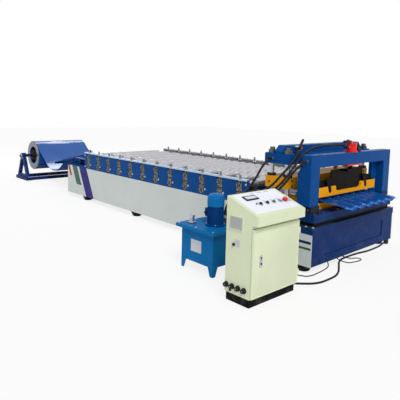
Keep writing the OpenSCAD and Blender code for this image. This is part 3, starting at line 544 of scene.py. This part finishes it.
# hoses and cables: the same routes as the solids, in mm on the drawing
cordRoutes = {
    "hose_1": [(-600, -938, 1206), (-600, -970, 1206), (-640, -1035, 1115), (-690, -1090, 975),
               (-745, -1170, 840), (-785, -1330, 745), (-795, -1430, 690), (-795, -1455, 640),
               (-795, -1455, 610), (-795, -1455, 584)],
    "hose_2": [(-430, -640, 1334), (-400, -640, 1334), (-340, -720, 1325), (-318, -820, 1270),
               (-330, -930, 1160), (-380, -1030, 1040), (-470, -1130, 900), (-610, -1290, 790),
               (-720, -1420, 720), (-745, -1455, 650), (-745, -1455, 615), (-745, -1455, 584)],
    "hose_3": [(-133, -89, 1340), (-133, -122, 1340), (-150, -200, 1370), (-180, -310, 1366),
               (-215, -500, 1362), (-255, -680, 1322), (-270, -850, 1222), (-300, -980, 1075),
               (-370, -1110, 920), (-520, -1270, 780), (-660, -1420, 715), (-695, -1455, 650),
               (-695, -1455, 615), (-695, -1455, 584)],
    "hose_4": [(-133, -934, 1210), (-133, -968, 1210), (-200, -1045, 1105), (-280, -1110, 960),
               (-380, -1200, 830), (-500, -1330, 740), (-615, -1430, 700), (-645, -1455, 650),
               (-645, -1455, 615), (-645, -1455, 584)],
    "cable_1": [(-42, 836, 30), (-42, 806, 30), (-40, 720, 13), (-31, 590, 11), (-31, 354, 11),
                (-59, 160, 11), (-70, -56, 11), (-65, -190, 11), (-23, -327, 11), (60, -470, 11),
                (145, -623, 11), (192, -757, 11), (203, -910, 11), (198, -1039, 11),
                (165, -1140, 11), (105, -1220, 11), (55, -1280, 13), (26, -1340, 26),
                (26, -1364, 26), (26, -1386, 26)],
    "cable_2": [(-120, -1386, 26), (-120, -1366, 26), (-120, -1346, 26), (-128, -1240, 6),
                (-130, -1100, 6), (-60, -1040, 6), (-5, -1010, 6), (20, -930, 6), (17, -849, 6),
                (8, -717, 6), (-25, -560, 6), (-95, -450, 14), (-150, -410, 85), (-190, -402, 120),
                (-208, -402, 120), (-226, -402, 120)],
    "cable_3": [(-226, -215, 120), (-208, -215, 120), (-190, -215, 120), (-150, -200, 96),
                (-72, -150, 32), (-15, -80, 8), (10, -15, 6), (55, 12, 6), (92, -35, 6),
                (80, -150, 6), (45, -250, 8), (-30, -305, 32), (-110, -312, 72), (-190, -312, 120),
                (-208, -312, 120), (-226, -312, 120)],
}
cordSizes = {"hose": (0.026, "medium"), "cable_1": (0.022, "medium"), "cable": (0.012, "limp")}


def passing(p, t):
    return 0.5 * (2 * p[1] + (p[2] - p[0]) * t + (2 * p[0] - 5 * p[1] + 4 * p[2] - p[3]) * t * t
                  + (3 * p[1] - p[0] - 3 * p[2] + p[3]) * t * t * t)


def filled(points, gap):
    path = []
    last = len(points) - 1
    for i in range(last):
        steps = ceil((points[i + 1] - points[i]).length / gap)
        four = [points[max(i - 1, 0)], points[i], points[i + 1], points[min(i + 2, last)]]
        path += [passing(four, k / steps) for k in range(steps)]
    return path + [points[last]]


def layCords():
    for name, route in cordRoutes.items():
        key = name if name in cordSizes else name.split("_")[0]
        diameter, stiffness = cordSizes[key]
        path = filled([at(*p) for p in route], 1.5 * diameter)
        data = bpy.data.curves.new(name + "_line", "CURVE")
        data.dimensions = "3D"
        data.bevel_depth = diameter / 2
        data.bevel_resolution = 3
        data.use_fill_caps = True
        line = data.splines.new("POLY")
        line.points.add(len(path) - 1)
        for point, place in zip(line.points, path):
            point.co = (*place, 1)
        line.use_smooth = True
        data.materials.append(finishes["rubber"].material)
        cord = bpy.data.objects.new(name + "_cord", data)
        scene.collection.objects.link(cord)
        length = sum((b - a).length for a, b in zip(path, path[1:]))
        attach(cord, "line")
        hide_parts(name)


layCords()
print("cords laid")


# modelling by hand: a start shape, faces picked by rule, then inset and pushed
home = (*lineOrigin, 0)


def clearPick():
    active = bpy.context.view_layer.objects.active
    if active and active.mode != "OBJECT":
        bpy.ops.object.mode_set(mode="OBJECT")
    bpy.ops.object.select_all(action="DESELECT")


def take(piece):
    clearPick()
    piece.select_set(True)
    bpy.context.view_layer.objects.active = piece


def settle(name):
    piece = bpy.context.active_object
    piece.name = name
    bpy.ops.object.transform_apply(location=True, rotation=True, scale=True)
    return piece


def addBlock(name, low, high):
    clearPick()
    a, b = at(*low), at(*high)
    bpy.ops.mesh.primitive_cube_add(size=1, location=(a + b) / 2)
    bpy.context.active_object.scale = b - a
    return settle(name)


def addRound(name, foot, along, radius, length, sides=24, ends="NGON"):
    clearPick()
    along = Vector(along).normalized()
    middle = at(*foot) + along * length / 2000
    bpy.ops.mesh.primitive_cylinder_add(vertices=sides, radius=radius / 1000, depth=length / 1000,
                                        end_fill_type=ends, location=middle,
                                        rotation=along.to_track_quat("Z", "Y").to_euler())
    return settle(name)


def pick(piece, rule):
    take(piece)
    bpy.ops.object.mode_set(mode="EDIT")
    bpy.ops.mesh.select_mode(type="FACE")
    bpy.ops.mesh.select_all(action="DESELECT")
    mesh = bmesh.from_edit_mesh(piece.data)
    for face in mesh.faces:
        if rule(face):
            face.select_set(True)
    mesh.select_flush_mode()
    bmesh.update_edit_mesh(piece.data)


def facing(*direction):
    way = Vector(direction).normalized()
    return lambda face: face.normal.dot(way) > 0.9


def shape(piece, rule, *steps):
    pick(piece, rule)
    for width, rise in steps:
        bpy.ops.mesh.inset(thickness=width / 1000, depth=rise / 1000)
    bpy.ops.object.mode_set(mode="OBJECT")
    return piece


def apply(piece, kind, **values):
    take(piece)
    change = piece.modifiers.new("change", kind)
    for key, value in values.items():
        setattr(change, key, value)
    bpy.ops.object.modifier_apply(modifier=change.name)
    return piece


def soften(piece, width, segments=2):
    return apply(piece, "BEVEL", width=width / 1000, segments=segments, limit_method="ANGLE")


def addTube(name, foot, along, radius, length, wall, sides=32):
    piece = addRound(name, foot, along, radius, length, sides, "NOTHING")
    apply(piece, "SOLIDIFY", thickness=wall / 1000, offset=-1)
    return soften(piece, min(wall, length) * 0.2)


def joined(name, pieces):
    take(pieces[0])
    for piece in pieces:
        piece.select_set(True)
    bpy.ops.object.join()
    pieces[0].name = name
    return pieces[0]


def finishPiece(piece, finish, body="line"):
    take(piece)
    bpy.ops.object.shade_smooth_by_angle(angle=radians(38))
    piece.data.materials.clear()
    piece.data.materials.append(finishes[finish].material)
    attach(piece, body)
    return piece


def spread(name, model, places, keep=True):
    copies = []
    for place, along in places:
        mesh = model.data.copy()
        turn = Vector(along).to_track_quat("Z", "Y").to_matrix().to_4x4()
        mesh.transform(Matrix.Translation(at(*place)) @ turn)
        copies.append(bpy.data.objects.new(name, mesh))
        scene.collection.objects.link(copies[-1])
    if not keep:
        bpy.data.objects.remove(model)
    return joined(name, copies)


up, near, far, exitWay, inWay = (0, 0, 1), (0, -1, 0), (0, 1, 0), (1, 0, 0), (-1, 0, 0)


def hexBolt(size):
    washer = soften(addRound("washer", home, up, size * 1.3, size * 0.25, 20), size * 0.06)
    head = addRound("head", (*lineOrigin, size * 0.25), up, size, size * 0.7, 6)
    shape(head, facing(*up), (size * 0.12, size * 0.08), (size * 0.45, 0),
          (size * 0.05, -size * 0.05))
    return joined("hexBolt", [washer, head])


def capScrew(size):
    screw = addRound("capScrew", home, up, size, size * 0.7, 16)
    return shape(screw, facing(*up), (size * 0.1, size * 0.06), (size * 0.35, 0),
                 (size * 0.03, -size * 0.4))


# roll stands: cover screws, a bolt beside every slot, end bolts on the pressure bars
stands = {
    "first": -1079,
    "pitch": -340,
    "count": 12,
    "axes": (675, 825),
    "cover": 944,
    "coverRing": 33,
    "plate": 940,
    "boltSide": 76,
    "bolt": 11,
    "ends": (-4940, -960),
    "bar": (170, 920, 910),
}


def makeStandScrews():
    xs = [stands["first"] + stands["pitch"] * i for i in range(stands["count"])]
    sides = (-1, 1)
    ring = [radians(45 + 90 * k) for k in range(4)]
    radius, cover, plate = stands["coverRing"], stands["cover"], stands["plate"]
    places = [((x + radius * cos(a), s * cover, z + radius * sin(a)), (0, s, 0))
              for x in xs for s in sides for z in stands["axes"] for a in ring]
    covers = spread("coverScrews", capScrew(5.5), places, keep=False)
    finishPiece(covers, "dark")
    bolt = hexBolt(stands["bolt"])
    places = [((x + stands["boltSide"], s * plate, 690), (0, s, 0)) for x in xs for s in sides]
    places += [((x, s * plate, z), (0, s, 0))
               for x in stands["ends"] for s in sides for z in (650, 850)]
    finishPiece(spread("standBolts", bolt, places), "steel")
    dx, y, z = stands["bar"]
    places = [((x + dx, s * y, z), up) for x in xs[1:] for s in sides]
    finishPiece(spread("barBolts", bolt, places, keep=False), "steel")
    cap = addRound("axleCap", home, up, 20, 6, 24)
    shape(cap, facing(*up), (3, 1.5), (8, 0), (1, -2))
    places = [((x, s * cover, z), (0, s, 0)) for x in xs for s in sides for z in stands["axes"]]
    finishPiece(spread("axleCaps", cap, places, keep=False), "dark")


makeStandScrews()

# exit deck, cutter base and portal bolts
frameBolts = {
    "deck": 12,
    "deckTop": 508,
    "deckSide": 918,
    "slab": 14,
    "slabTop": 640,
    "portal": 11,
    "portalFront": -76,
}


def makeFrameBolts():
    side, z = frameBolts["deckSide"], frameBolts["deckTop"]
    places = [((x, s * side, z), up) for s in (-1, 1) for x in (-100, -330, -700, -860)]
    places += [((-20, y, z), up) for y in (-906, 906)]
    bolts = spread("deckBolts", hexBolt(frameBolts["deck"]), places, keep=False)
    finishPiece(bolts, "steel")
    places = [((x, y, frameBolts["slabTop"]), up)
              for x in (-278, -42) for y in (-860, -690, -400, 400, 690, 860)]
    bolts = spread("slabBolts", hexBolt(frameBolts["slab"]), places, keep=False)
    finishPiece(bolts, "dark")
    bolt = hexBolt(frameBolts["portal"])
    places = [((x, -888, 682), near) for x in (-215, -105)]
    finishPiece(spread("portalBolts", bolt, places), "dark")
    places = [((frameBolts["portalFront"], 764, z), exitWay) for z in (820, 900, 980, 1060)]
    finishPiece(spread("columnBolts", bolt, places, keep=False), "azure")


makeFrameBolts()

# press: black bush rings and screws on the moving die, plates and caps on the crown
press = {
    "x": -540,
    "pillarX": 115,
    "pillarY": 845,
    "dieTop": 1002,
    "dieFaces": ((-385, exitWay), (-695, inWay)),
    "crownFoot": 1262,
    "crownTop": 1324,
}


def makePressParts():
    corners = [(press["x"] + a * press["pillarX"], b * press["pillarY"])
               for a in (-1, 1) for b in (-1, 1)]
    rings = [addTube("bushRing", (x, y, press["dieTop"]), up, 53, 30, 19) for x, y in corners]
    finishPiece(joined("bushRings", rings), "plastic", "press_die")
    places = [((x, y, z), way) for x, way in press["dieFaces"]
              for y in (-820, -560, -300, 0, 300, 560, 820) for z in (905, 965)]
    places += [((x, s * 905, 937), (0, s, 0)) for x in (-640, -440) for s in (-1, 1)]
    screws = spread("dieScrews", capScrew(11), places, keep=False)
    finishPiece(screws, "dark", "press_die")
    plates = []
    caps = []
    foot = press["crownFoot"]
    for x, y in corners:
        plate = addBlock("crownPlate", (x - 58, y - 58, foot), (x + 58, y + 58, foot + 6))
        plates.append(soften(shape(plate, facing(*up), (8, 0), (2, 1)), 1.5))
        cap = addRound("pillarCap", (x, y, press["crownTop"]), up, 29, 8, 32)
        caps.append(shape(cap, facing(*up), (6, 2), (10, 0), (1, -4)))
    finishPiece(joined("crownPlates", plates), "blue")
    finishPiece(joined("pillarCaps", caps), "dark")


makePressParts()

# cutter: screws and bands on the red cylinder, its port block and the hand valve beside it
cutter = {"x": -133, "top": 1392, "radius": 59}


def makeCutterParts():
    x, top = cutter["x"], cutter["top"]
    screw = capScrew(7)
    ring = [radians(60 * k + 30) for k in range(6)]
    places = [((x + 42 * cos(a), 42 * sin(a), top), up) for a in ring]
    finishPiece(spread("cylinderScrews", screw, places, keep=False), "dark")
    bands = [addTube("band", (x, 0, z), up, cutter["radius"] - 2.5, 7, 7, 48) for z in (1318, 1350)]
    finishPiece(joined("cylinderBands", bands), "red")
    foot = soften(shape(addBlock("valveFoot", (x - 26, 122, 1280), (x + 26, 188, 1318)),
                        facing(*up), (6, 0), (2, 6)), 3)
    neck = addRound("valveNeck", (x, 156, 1320), up, 17, 40)
    shape(neck, facing(*up), (3, 3), (5, 12), (4, 3))
    lever = addBlock("valveLever", (x - 7, 152, 1332), (x + 7, 232, 1342))
    shape(lever, facing(*far), (1.5, 4), (1, 12))
    soften(lever, 3)
    pipe = addRound("valvePipe", (x, 50, 1300), far, 12, 76)
    shape(pipe, facing(*far), (2, 2))
    finishPiece(joined("handValve", [foot, neck, lever, pipe]), "plastic")
    block = soften(shape(addBlock("portBlock", (x - 26, -150, 1392), (x + 26, -44, 1420)),
                         facing(*near), (6, 3), (2, 16)), 3)
    cover = addRound("portCap", (x, -82, 1419), up, 17, 7)
    shape(cover, facing(*up), (4, 3), (5, 0), (1, -2))
    finishPiece(joined("portBlock", [block, cover]), "plastic")


makeCutterParts()

# hydraulic station: bare plate, lid bolts, filler ring, terminal box and knob of the motor
tank = {"near": -1822, "lid": 490, "motor": (-800, -1602), "flange": 506, "flangeRing": 98}


def makeTankParts():
    front, lid = tank["near"], tank["lid"]
    mx, my = tank["motor"]
    plate = addBlock("tankPlate", (-944, front - 3, 214), (-779, front, 346))
    shape(plate, facing(*near), (7, 0), (1, -1.2))
    finishPiece(soften(plate, 0.6, 1), "plate")
    bolt = hexBolt(8)
    places = [((x, y, lid), up) for x in (-1120, -850, -580) for y in (-1846, -1358)]
    places += [((x, my, lid), up) for x in (-1120, -580)]
    radius = tank["flangeRing"]
    places += [((mx + radius * cos(a), my + radius * sin(a), tank["flange"]), up)
               for a in (pi / 4 + k * pi / 2 for k in range(4))]
    finishPiece(spread("tankBolts", bolt, places, keep=False), "steel")
    box = addBlock("terminalBox", (mx - 126, my - 46, 576), (mx - 78, my + 46, 668))
    shape(box, facing(*inWay), (5, 0), (2, 5))
    finishPiece(soften(box, 3), "motor")
    knob = addRound("cowlKnob", (mx - 92, my, 704), inWay, 12, 26)
    shape(knob, facing(*inWay), (2, 2), (4, 0), (1, -2))
    gland = addRound("boxGland", (mx - 102, my - 46, 622), near, 15, 18, 6)
    shape(gland, facing(*near), (2, 1), (4, 9))
    finishPiece(joined("motorKnobs", [knob, gland]), "plastic")
    finishPiece(addTube("fillerRing", (-1040, -1732, lid - 2), up, 50, 8, 14),
                "plastic")


makeTankParts()

# control cabinet: vent, switch, door panel and lock, and everything on the sloping top
cabinet = {
    "wall": -2090,
    "tilt": atan2(136, 375),
    "slopeFoot": (214, 834),
    "slats": 9,
    "plugs": 4,
    "firstPlug": -137,
    "plugPitch": 72,
    "plugHeight": 150,
}


def onSlope(u, y, h):
    c, s = cos(cabinet["tilt"]), sin(cabinet["tilt"])
    x, z = cabinet["slopeFoot"]
    return (x - u * c + h * s, y, z + u * s + h * c)


def tip(piece, u, y, h):
    turn = Matrix.Rotation(cabinet["tilt"], 4, "Y")
    piece.data.transform(Matrix.Translation(at(*onSlope(u, y, h))) @ turn)
    return piece


def slopeBlock(name, u, y, wide, deep, rise, *steps):
    piece = addBlock(name, (lineOrigin[0] - deep / 2, lineOrigin[1] - wide / 2, 0),
                     (lineOrigin[0] + deep / 2, lineOrigin[1] + wide / 2, rise))
    shape(piece, facing(*up), *steps)
    return tip(piece, u, y, 3)


def slopeRound(name, u, y, h, radius, rise, *steps):
    piece = addRound(name, home, up, radius, rise, 32)
    shape(piece, facing(*up), *steps)
    return tip(piece, u, y, h)


def makeCabinetParts():
    wall = cabinet["wall"]
    ventFrame = addBlock("ventFrame", (-136, wall - 6, 668), (46, wall, 812))
    shape(ventFrame, facing(*near), (5, 0), (1, 1))
    finishPiece(soften(ventFrame, 1.5), "cream")
    grille = addBlock("ventGrille", (-109, wall - 13, 689), (41, wall - 6, 797))
    shape(grille, facing(*near), (7, 0), (1.5, -3))
    slats = [grille]
    for k in range(cabinet["slats"]):
        slat = addBlock("slat", (-101, -2102, 701 + 10 * k), (33, -2098, 705 + 10 * k))
        slats.append(shape(slat, facing(*near), (1, 1)))
    finishPiece(joined("ventGrille", slats), "vent")

    plate = addBlock("switchPlate", (-54, wall - 4, 528), (10, wall, 588))
    shape(plate, facing(*near), (3, 0), (1, -1))
    finishPiece(soften(plate, 1), "plate")
    knob = addRound("switchKnob", (-58, -2102, 542), near, 12, 6)
    shape(knob, facing(*near), (2, 2), (5, 3))
    rings = [knob]
    pins = []
    z = cabinet["plugHeight"]
    for k in range(cabinet["plugs"]):
        x = cabinet["firstPlug"] + cabinet["plugPitch"] * k
        rings.append(addTube("plugRing", (x, wall, z), near, 27, 9, 6))
        cap = addRound("plugCap", (x, wall - 29, z), near, 19, 5)
        rings.append(shape(cap, facing(*near), (3, 1.5), (5, 0), (1, -3)))
        pin = addRound("plugPins", (x, wall - 29, z), near, 5, 3, 12)
        pins.append(shape(pin, facing(*near), (1, 1)))
    finishPiece(joined("plugRings", rings), "plastic")
    finishPiece(joined("plugPins", pins), "steel")

    panel = addBlock("doorPanel", (161, -2062, 112), (166, -1438, 690))
    shape(panel, facing(*exitWay), (3, 1.5))
    finishPiece(soften(panel, 1), "cream", "door")
    lock = addBlock("doorLock", (165, -2000, 368), (172, -1964, 476))
    shape(lock, facing(*exitWay), (3, 2), (6, 0), (2, -3))
    finishPiece(soften(lock, 2), "steel", "door")
    grip = addRound("lockGrip", (168, -1982, 398), exitWay, 9, 8)
    shape(grip, facing(*exitWay), (2, 2), (3, 4))
    cylinder = addRound("lockCylinder", (168, -1982, 450), exitWay, 10, 5)
    shape(cylinder, facing(*exitWay), (2, 1), (4, 0), (1, -2))
    finishPiece(joined("lockGrip", [grip, cylinder]), "plastic", "door")


makeCabinetParts()

console = {
    "row": 175,
    "first": -1875,
    "pitch": 94,
    "knobs": ("plastic", "plastic", "greenCap", "whiteCap"),
    "screen": (295, -1886),
    "stop": (167, -1530),
    "labels": ((-1800, 34), (-1700, 60), (-1600, 60)),
}


def makeConsoleParts():
    u, y = console["screen"]
    rim = slopeBlock("screenFrame", u, y, 168, 70, 7, (3, 0), (2, 3), (7, 0), (2, -3))
    finishPiece(rim, "plastic")
    pane = slopeBlock("screenPane", u, y, 144, 48, 8, (2, 0.6))
    finishPiece(pane, "pane")
    row = console["row"]
    across = [console["first"] + console["pitch"] * k for k in range(len(console["knobs"]))]
    rings = []
    for k, (y, cap) in enumerate(zip(across, console["knobs"])):
        rings.append(tip(addTube("knobRing", home, up, 25, 9, 7), row, y, 3))
        top = slopeRound("knobTop_%d" % (k + 1), row, y, 16, 14, 7, (3, 2), (4, 0), (1, -1))
        finishPiece(top, cap)
    finishPiece(joined("knobRings", rings), "steel")
    u, y = console["stop"]
    stop = slopeRound("stopCap", u, y, 17, 26, 14, (4, 3), (6, 3), (6, 1))
    finishPiece(stop, "redCap")
    finishPiece(slopeRound("stopPlate", u, y, 3, 31, 3, (2, 1)), "whiteCap")
    labels = [slopeBlock("label", 361, y, wide, 9, 2, (1, 0.5)) for y, wide in console["labels"]]
    labels += [slopeBlock("label", row + 42, y, 30, 8, 2, (1, 0.5)) for y in across]
    labels.append(slopeBlock("label", 165, -1470, 50, 44, 2, (2, 0.5)))
    finishPiece(joined("bareLabels", labels), "vent")


makeConsoleParts()

# hose ends: crimped sleeves, and the post on the crown that the second hose comes from
sleeve = {"radius": 19, "length": 48, "wall": 5.5, "postLean": (0, 0.58, 0.81)}


def makeSleeves():
    for name, route in cordRoutes.items():
        if not name.startswith("hose"):
            continue
        ends = []
        for first, second in ((route[0], route[1]), (route[-1], route[-2])):
            along = Vector(second) - Vector(first)
            ends.append(addTube("sleeve", first, along,
                                sleeve["radius"], sleeve["length"], sleeve["wall"]))
            ends.append(addTube("nut", first, along, sleeve["radius"] + 4, 14, 9, 6))
        finishPiece(joined(name + "_sleeves", ends), "plastic")
    lean = sleeve["postLean"]
    post = addRound("crownPost", (-440, -668, 1266), lean, 16, 182)
    shape(post, facing(*lean), (2, 6), (3, 5), (3, 2))
    foot = addRound("postFoot", (-440, -668, 1262), up, 27, 16, 6)
    shape(foot, facing(*up), (3, 3))
    finishPiece(joined("crownPost", [post, foot]), "plastic")


makeSleeves()

# decoiler: bearing caps and bolts, bright shaft ends with a keyed collar
decoiler = {"x": -8100, "height": 560, "side": 860}


def makeDecoilerParts():
    x, z = decoiler["x"], decoiler["height"]
    bolt = hexBolt(15)
    places = [((x + a, s * decoiler["side"], 70), up) for a in (-305, 305) for s in (-1, 1)]
    places += [((x + a, s * 905, z - 42), (0, s, 0)) for a in (-48, 48) for s in (-1, 1)]
    bolts = spread("decoilerBolts", bolt, places, keep=False)
    finishPiece(bolts, "steel")
    rings = [addTube("bearingRing", (x, s * 904, z), (0, s, 0), 58, 8, 20) for s in (-1, 1)]
    finishPiece(joined("bearingRings", rings), "dark")
    ends = []
    for s in (-1, 1):
        end = addRound("shaftEnd", (x, s * 950, z), (0, s, 0), 33, 5)
        shape(end, facing(0, s, 0), (4, 3), (20, 0), (2, -4))
        ends += [end, addTube("collar", (x, s * 915, z), (0, s, 0), 44, 20, 8.5)]
    finishPiece(joined("shaftEnds", ends), "steel", "reel")


makeDecoilerParts()

# inside the cabinet: mounting plate, wire ducts and rows of bare modules
inside = {"back": -150, "rows": (560, 400, 240), "modules": 9, "pitch": 52, "moduleHeight": 84}


def makeCabinetInside():
    x = inside["back"]
    plate = addBlock("mountingPlate", (x, -2050, 130), (x + 4, -1450, 660))
    shape(plate, facing(*exitWay), (8, 0), (2, 1))
    finishPiece(plate, "plate")
    ducts = []
    for z in inside["rows"]:
        duct = addBlock("duct", (x + 5, -2035, z + 56), (x + 45, -1465, z + 90))
        ducts.append(shape(duct, facing(*exitWay), (3, 0), (1, -2)))
    finishPiece(joined("wireDucts", ducts), "vent")
    height = inside["moduleHeight"]
    body = addBlock("module", (x + 10, -2030, 0), (x + 70, -1988, height))
    shape(body, facing(*exitWay), (4, 3), (10, 0), (2, 6))
    shape(body, facing(*up), (5, 0), (2, -3))
    copies = []
    for z in inside["rows"]:
        for k in range(inside["modules"]):
            mesh = body.data.copy()
            step = (0, k * inside["pitch"] / 1000, (z - height / 2) / 1000)
            mesh.transform(Matrix.Translation(step))
            copies.append(bpy.data.objects.new("module", mesh))
            scene.collection.objects.link(copies[-1])
    bpy.data.objects.remove(body)
    finishPiece(joined("controlModules", copies), "plastic")


makeCabinetInside()
print("detail pieces made")


# floor, light and background
studio = {
    "floor": 60.0,
    "floorColour": (0.86, 0.86, 0.86, 1),
    "floorDrop": -0.002,
    "glow": 0.82,
    "fill": 0.50,
}


def addFloor():
    bpy.ops.object.select_all(action="DESELECT")
    bpy.ops.mesh.primitive_plane_add(size=studio["floor"], location=(0, 0, studio["floorDrop"]))
    floor = bpy.context.active_object
    floor.name = "studioFloor"
    f = Finish("floorPaint")
    f.set(Base_Color=studio["floorColour"], Roughness=0.8, Specular_IOR_Level=0.1)
    tree = f.tree
    out = next(n for n in tree.nodes if n.type == "OUTPUT_MATERIAL")
    glow = tree.nodes.new("ShaderNodeEmission")
    mix = tree.nodes.new("ShaderNodeMixShader")
    rays = tree.nodes.new("ShaderNodeLightPath")
    seen = Wire(f, rays.outputs["Is Camera Ray"]) * studio["glow"]
    tree.links.new(seen.socket, mix.inputs[0])
    tree.links.new(f.shader.outputs[0], mix.inputs[1])
    tree.links.new(glow.outputs[0], mix.inputs[2])
    tree.links.new(mix.outputs[0], out.inputs[0])
    floor.data.materials.append(f.material)


# white where the camera or a mirror looks, dimmer as a light
def addWorld():
    world = bpy.data.worlds.new("studioWorld")
    world.use_nodes = True
    scene.world = world
    tree = world.node_tree
    back = next(n for n in tree.nodes if n.type == "BACKGROUND")
    back.inputs["Color"].default_value = (1, 1, 1, 1)
    rays = tree.nodes.new("ShaderNodeLightPath")
    most = tree.nodes.new("ShaderNodeMath")
    most.operation = "MAXIMUM"
    also = tree.nodes.new("ShaderNodeMath")
    also.operation = "MAXIMUM"
    level = tree.nodes.new("ShaderNodeMapRange")
    level.inputs["To Min"].default_value = studio["fill"]
    tree.links.new(rays.outputs["Is Camera Ray"], most.inputs[0])
    tree.links.new(rays.outputs["Is Glossy Ray"], most.inputs[1])
    tree.links.new(most.outputs[0], also.inputs[0])
    tree.links.new(rays.outputs["Is Transmission Ray"], also.inputs[1])
    tree.links.new(also.outputs[0], level.inputs["Value"])
    tree.links.new(level.outputs[0], back.inputs["Strength"])


# a soft sun, and a softbox high over the coil for the long highlight on the coated strip
lights = {
    "sun": 1.9,
    "sunAngle": 24.0,
    "sunFrom": (0.60, -0.34, 0.72),
    "box": 110.0,
    "boxSize": (2.0, 2.4),
    "boxPlace": (-10900, 2700, 5900),
    "boxAim": (-8000, 0, 800),
}


def addLamp(name, data, backwards):
    lamp = bpy.data.objects.new(name, data)
    scene.collection.objects.link(lamp)
    lamp.rotation_euler = Vector(backwards).to_track_quat("Z", "Y").to_euler()
    return lamp


def addLights():
    sun = bpy.data.lights.new("softSun", "SUN")
    sun.energy = lights["sun"]
    sun.angle = radians(lights["sunAngle"])
    addLamp("softSun", sun, lights["sunFrom"])
    box = bpy.data.lights.new("softBox", "AREA")
    box.shape = "RECTANGLE"
    box.size, box.size_y = lights["boxSize"]
    box.energy = lights["box"]
    place = at(*lights["boxPlace"])
    lamp = addLamp("softBox", box, place - at(*lights["boxAim"]))
    lamp.location = place
    lamp.visible_camera = False


addFloor()
addWorld()
addLights()
scene.view_settings.view_transform = "Standard"
print("studio ready")
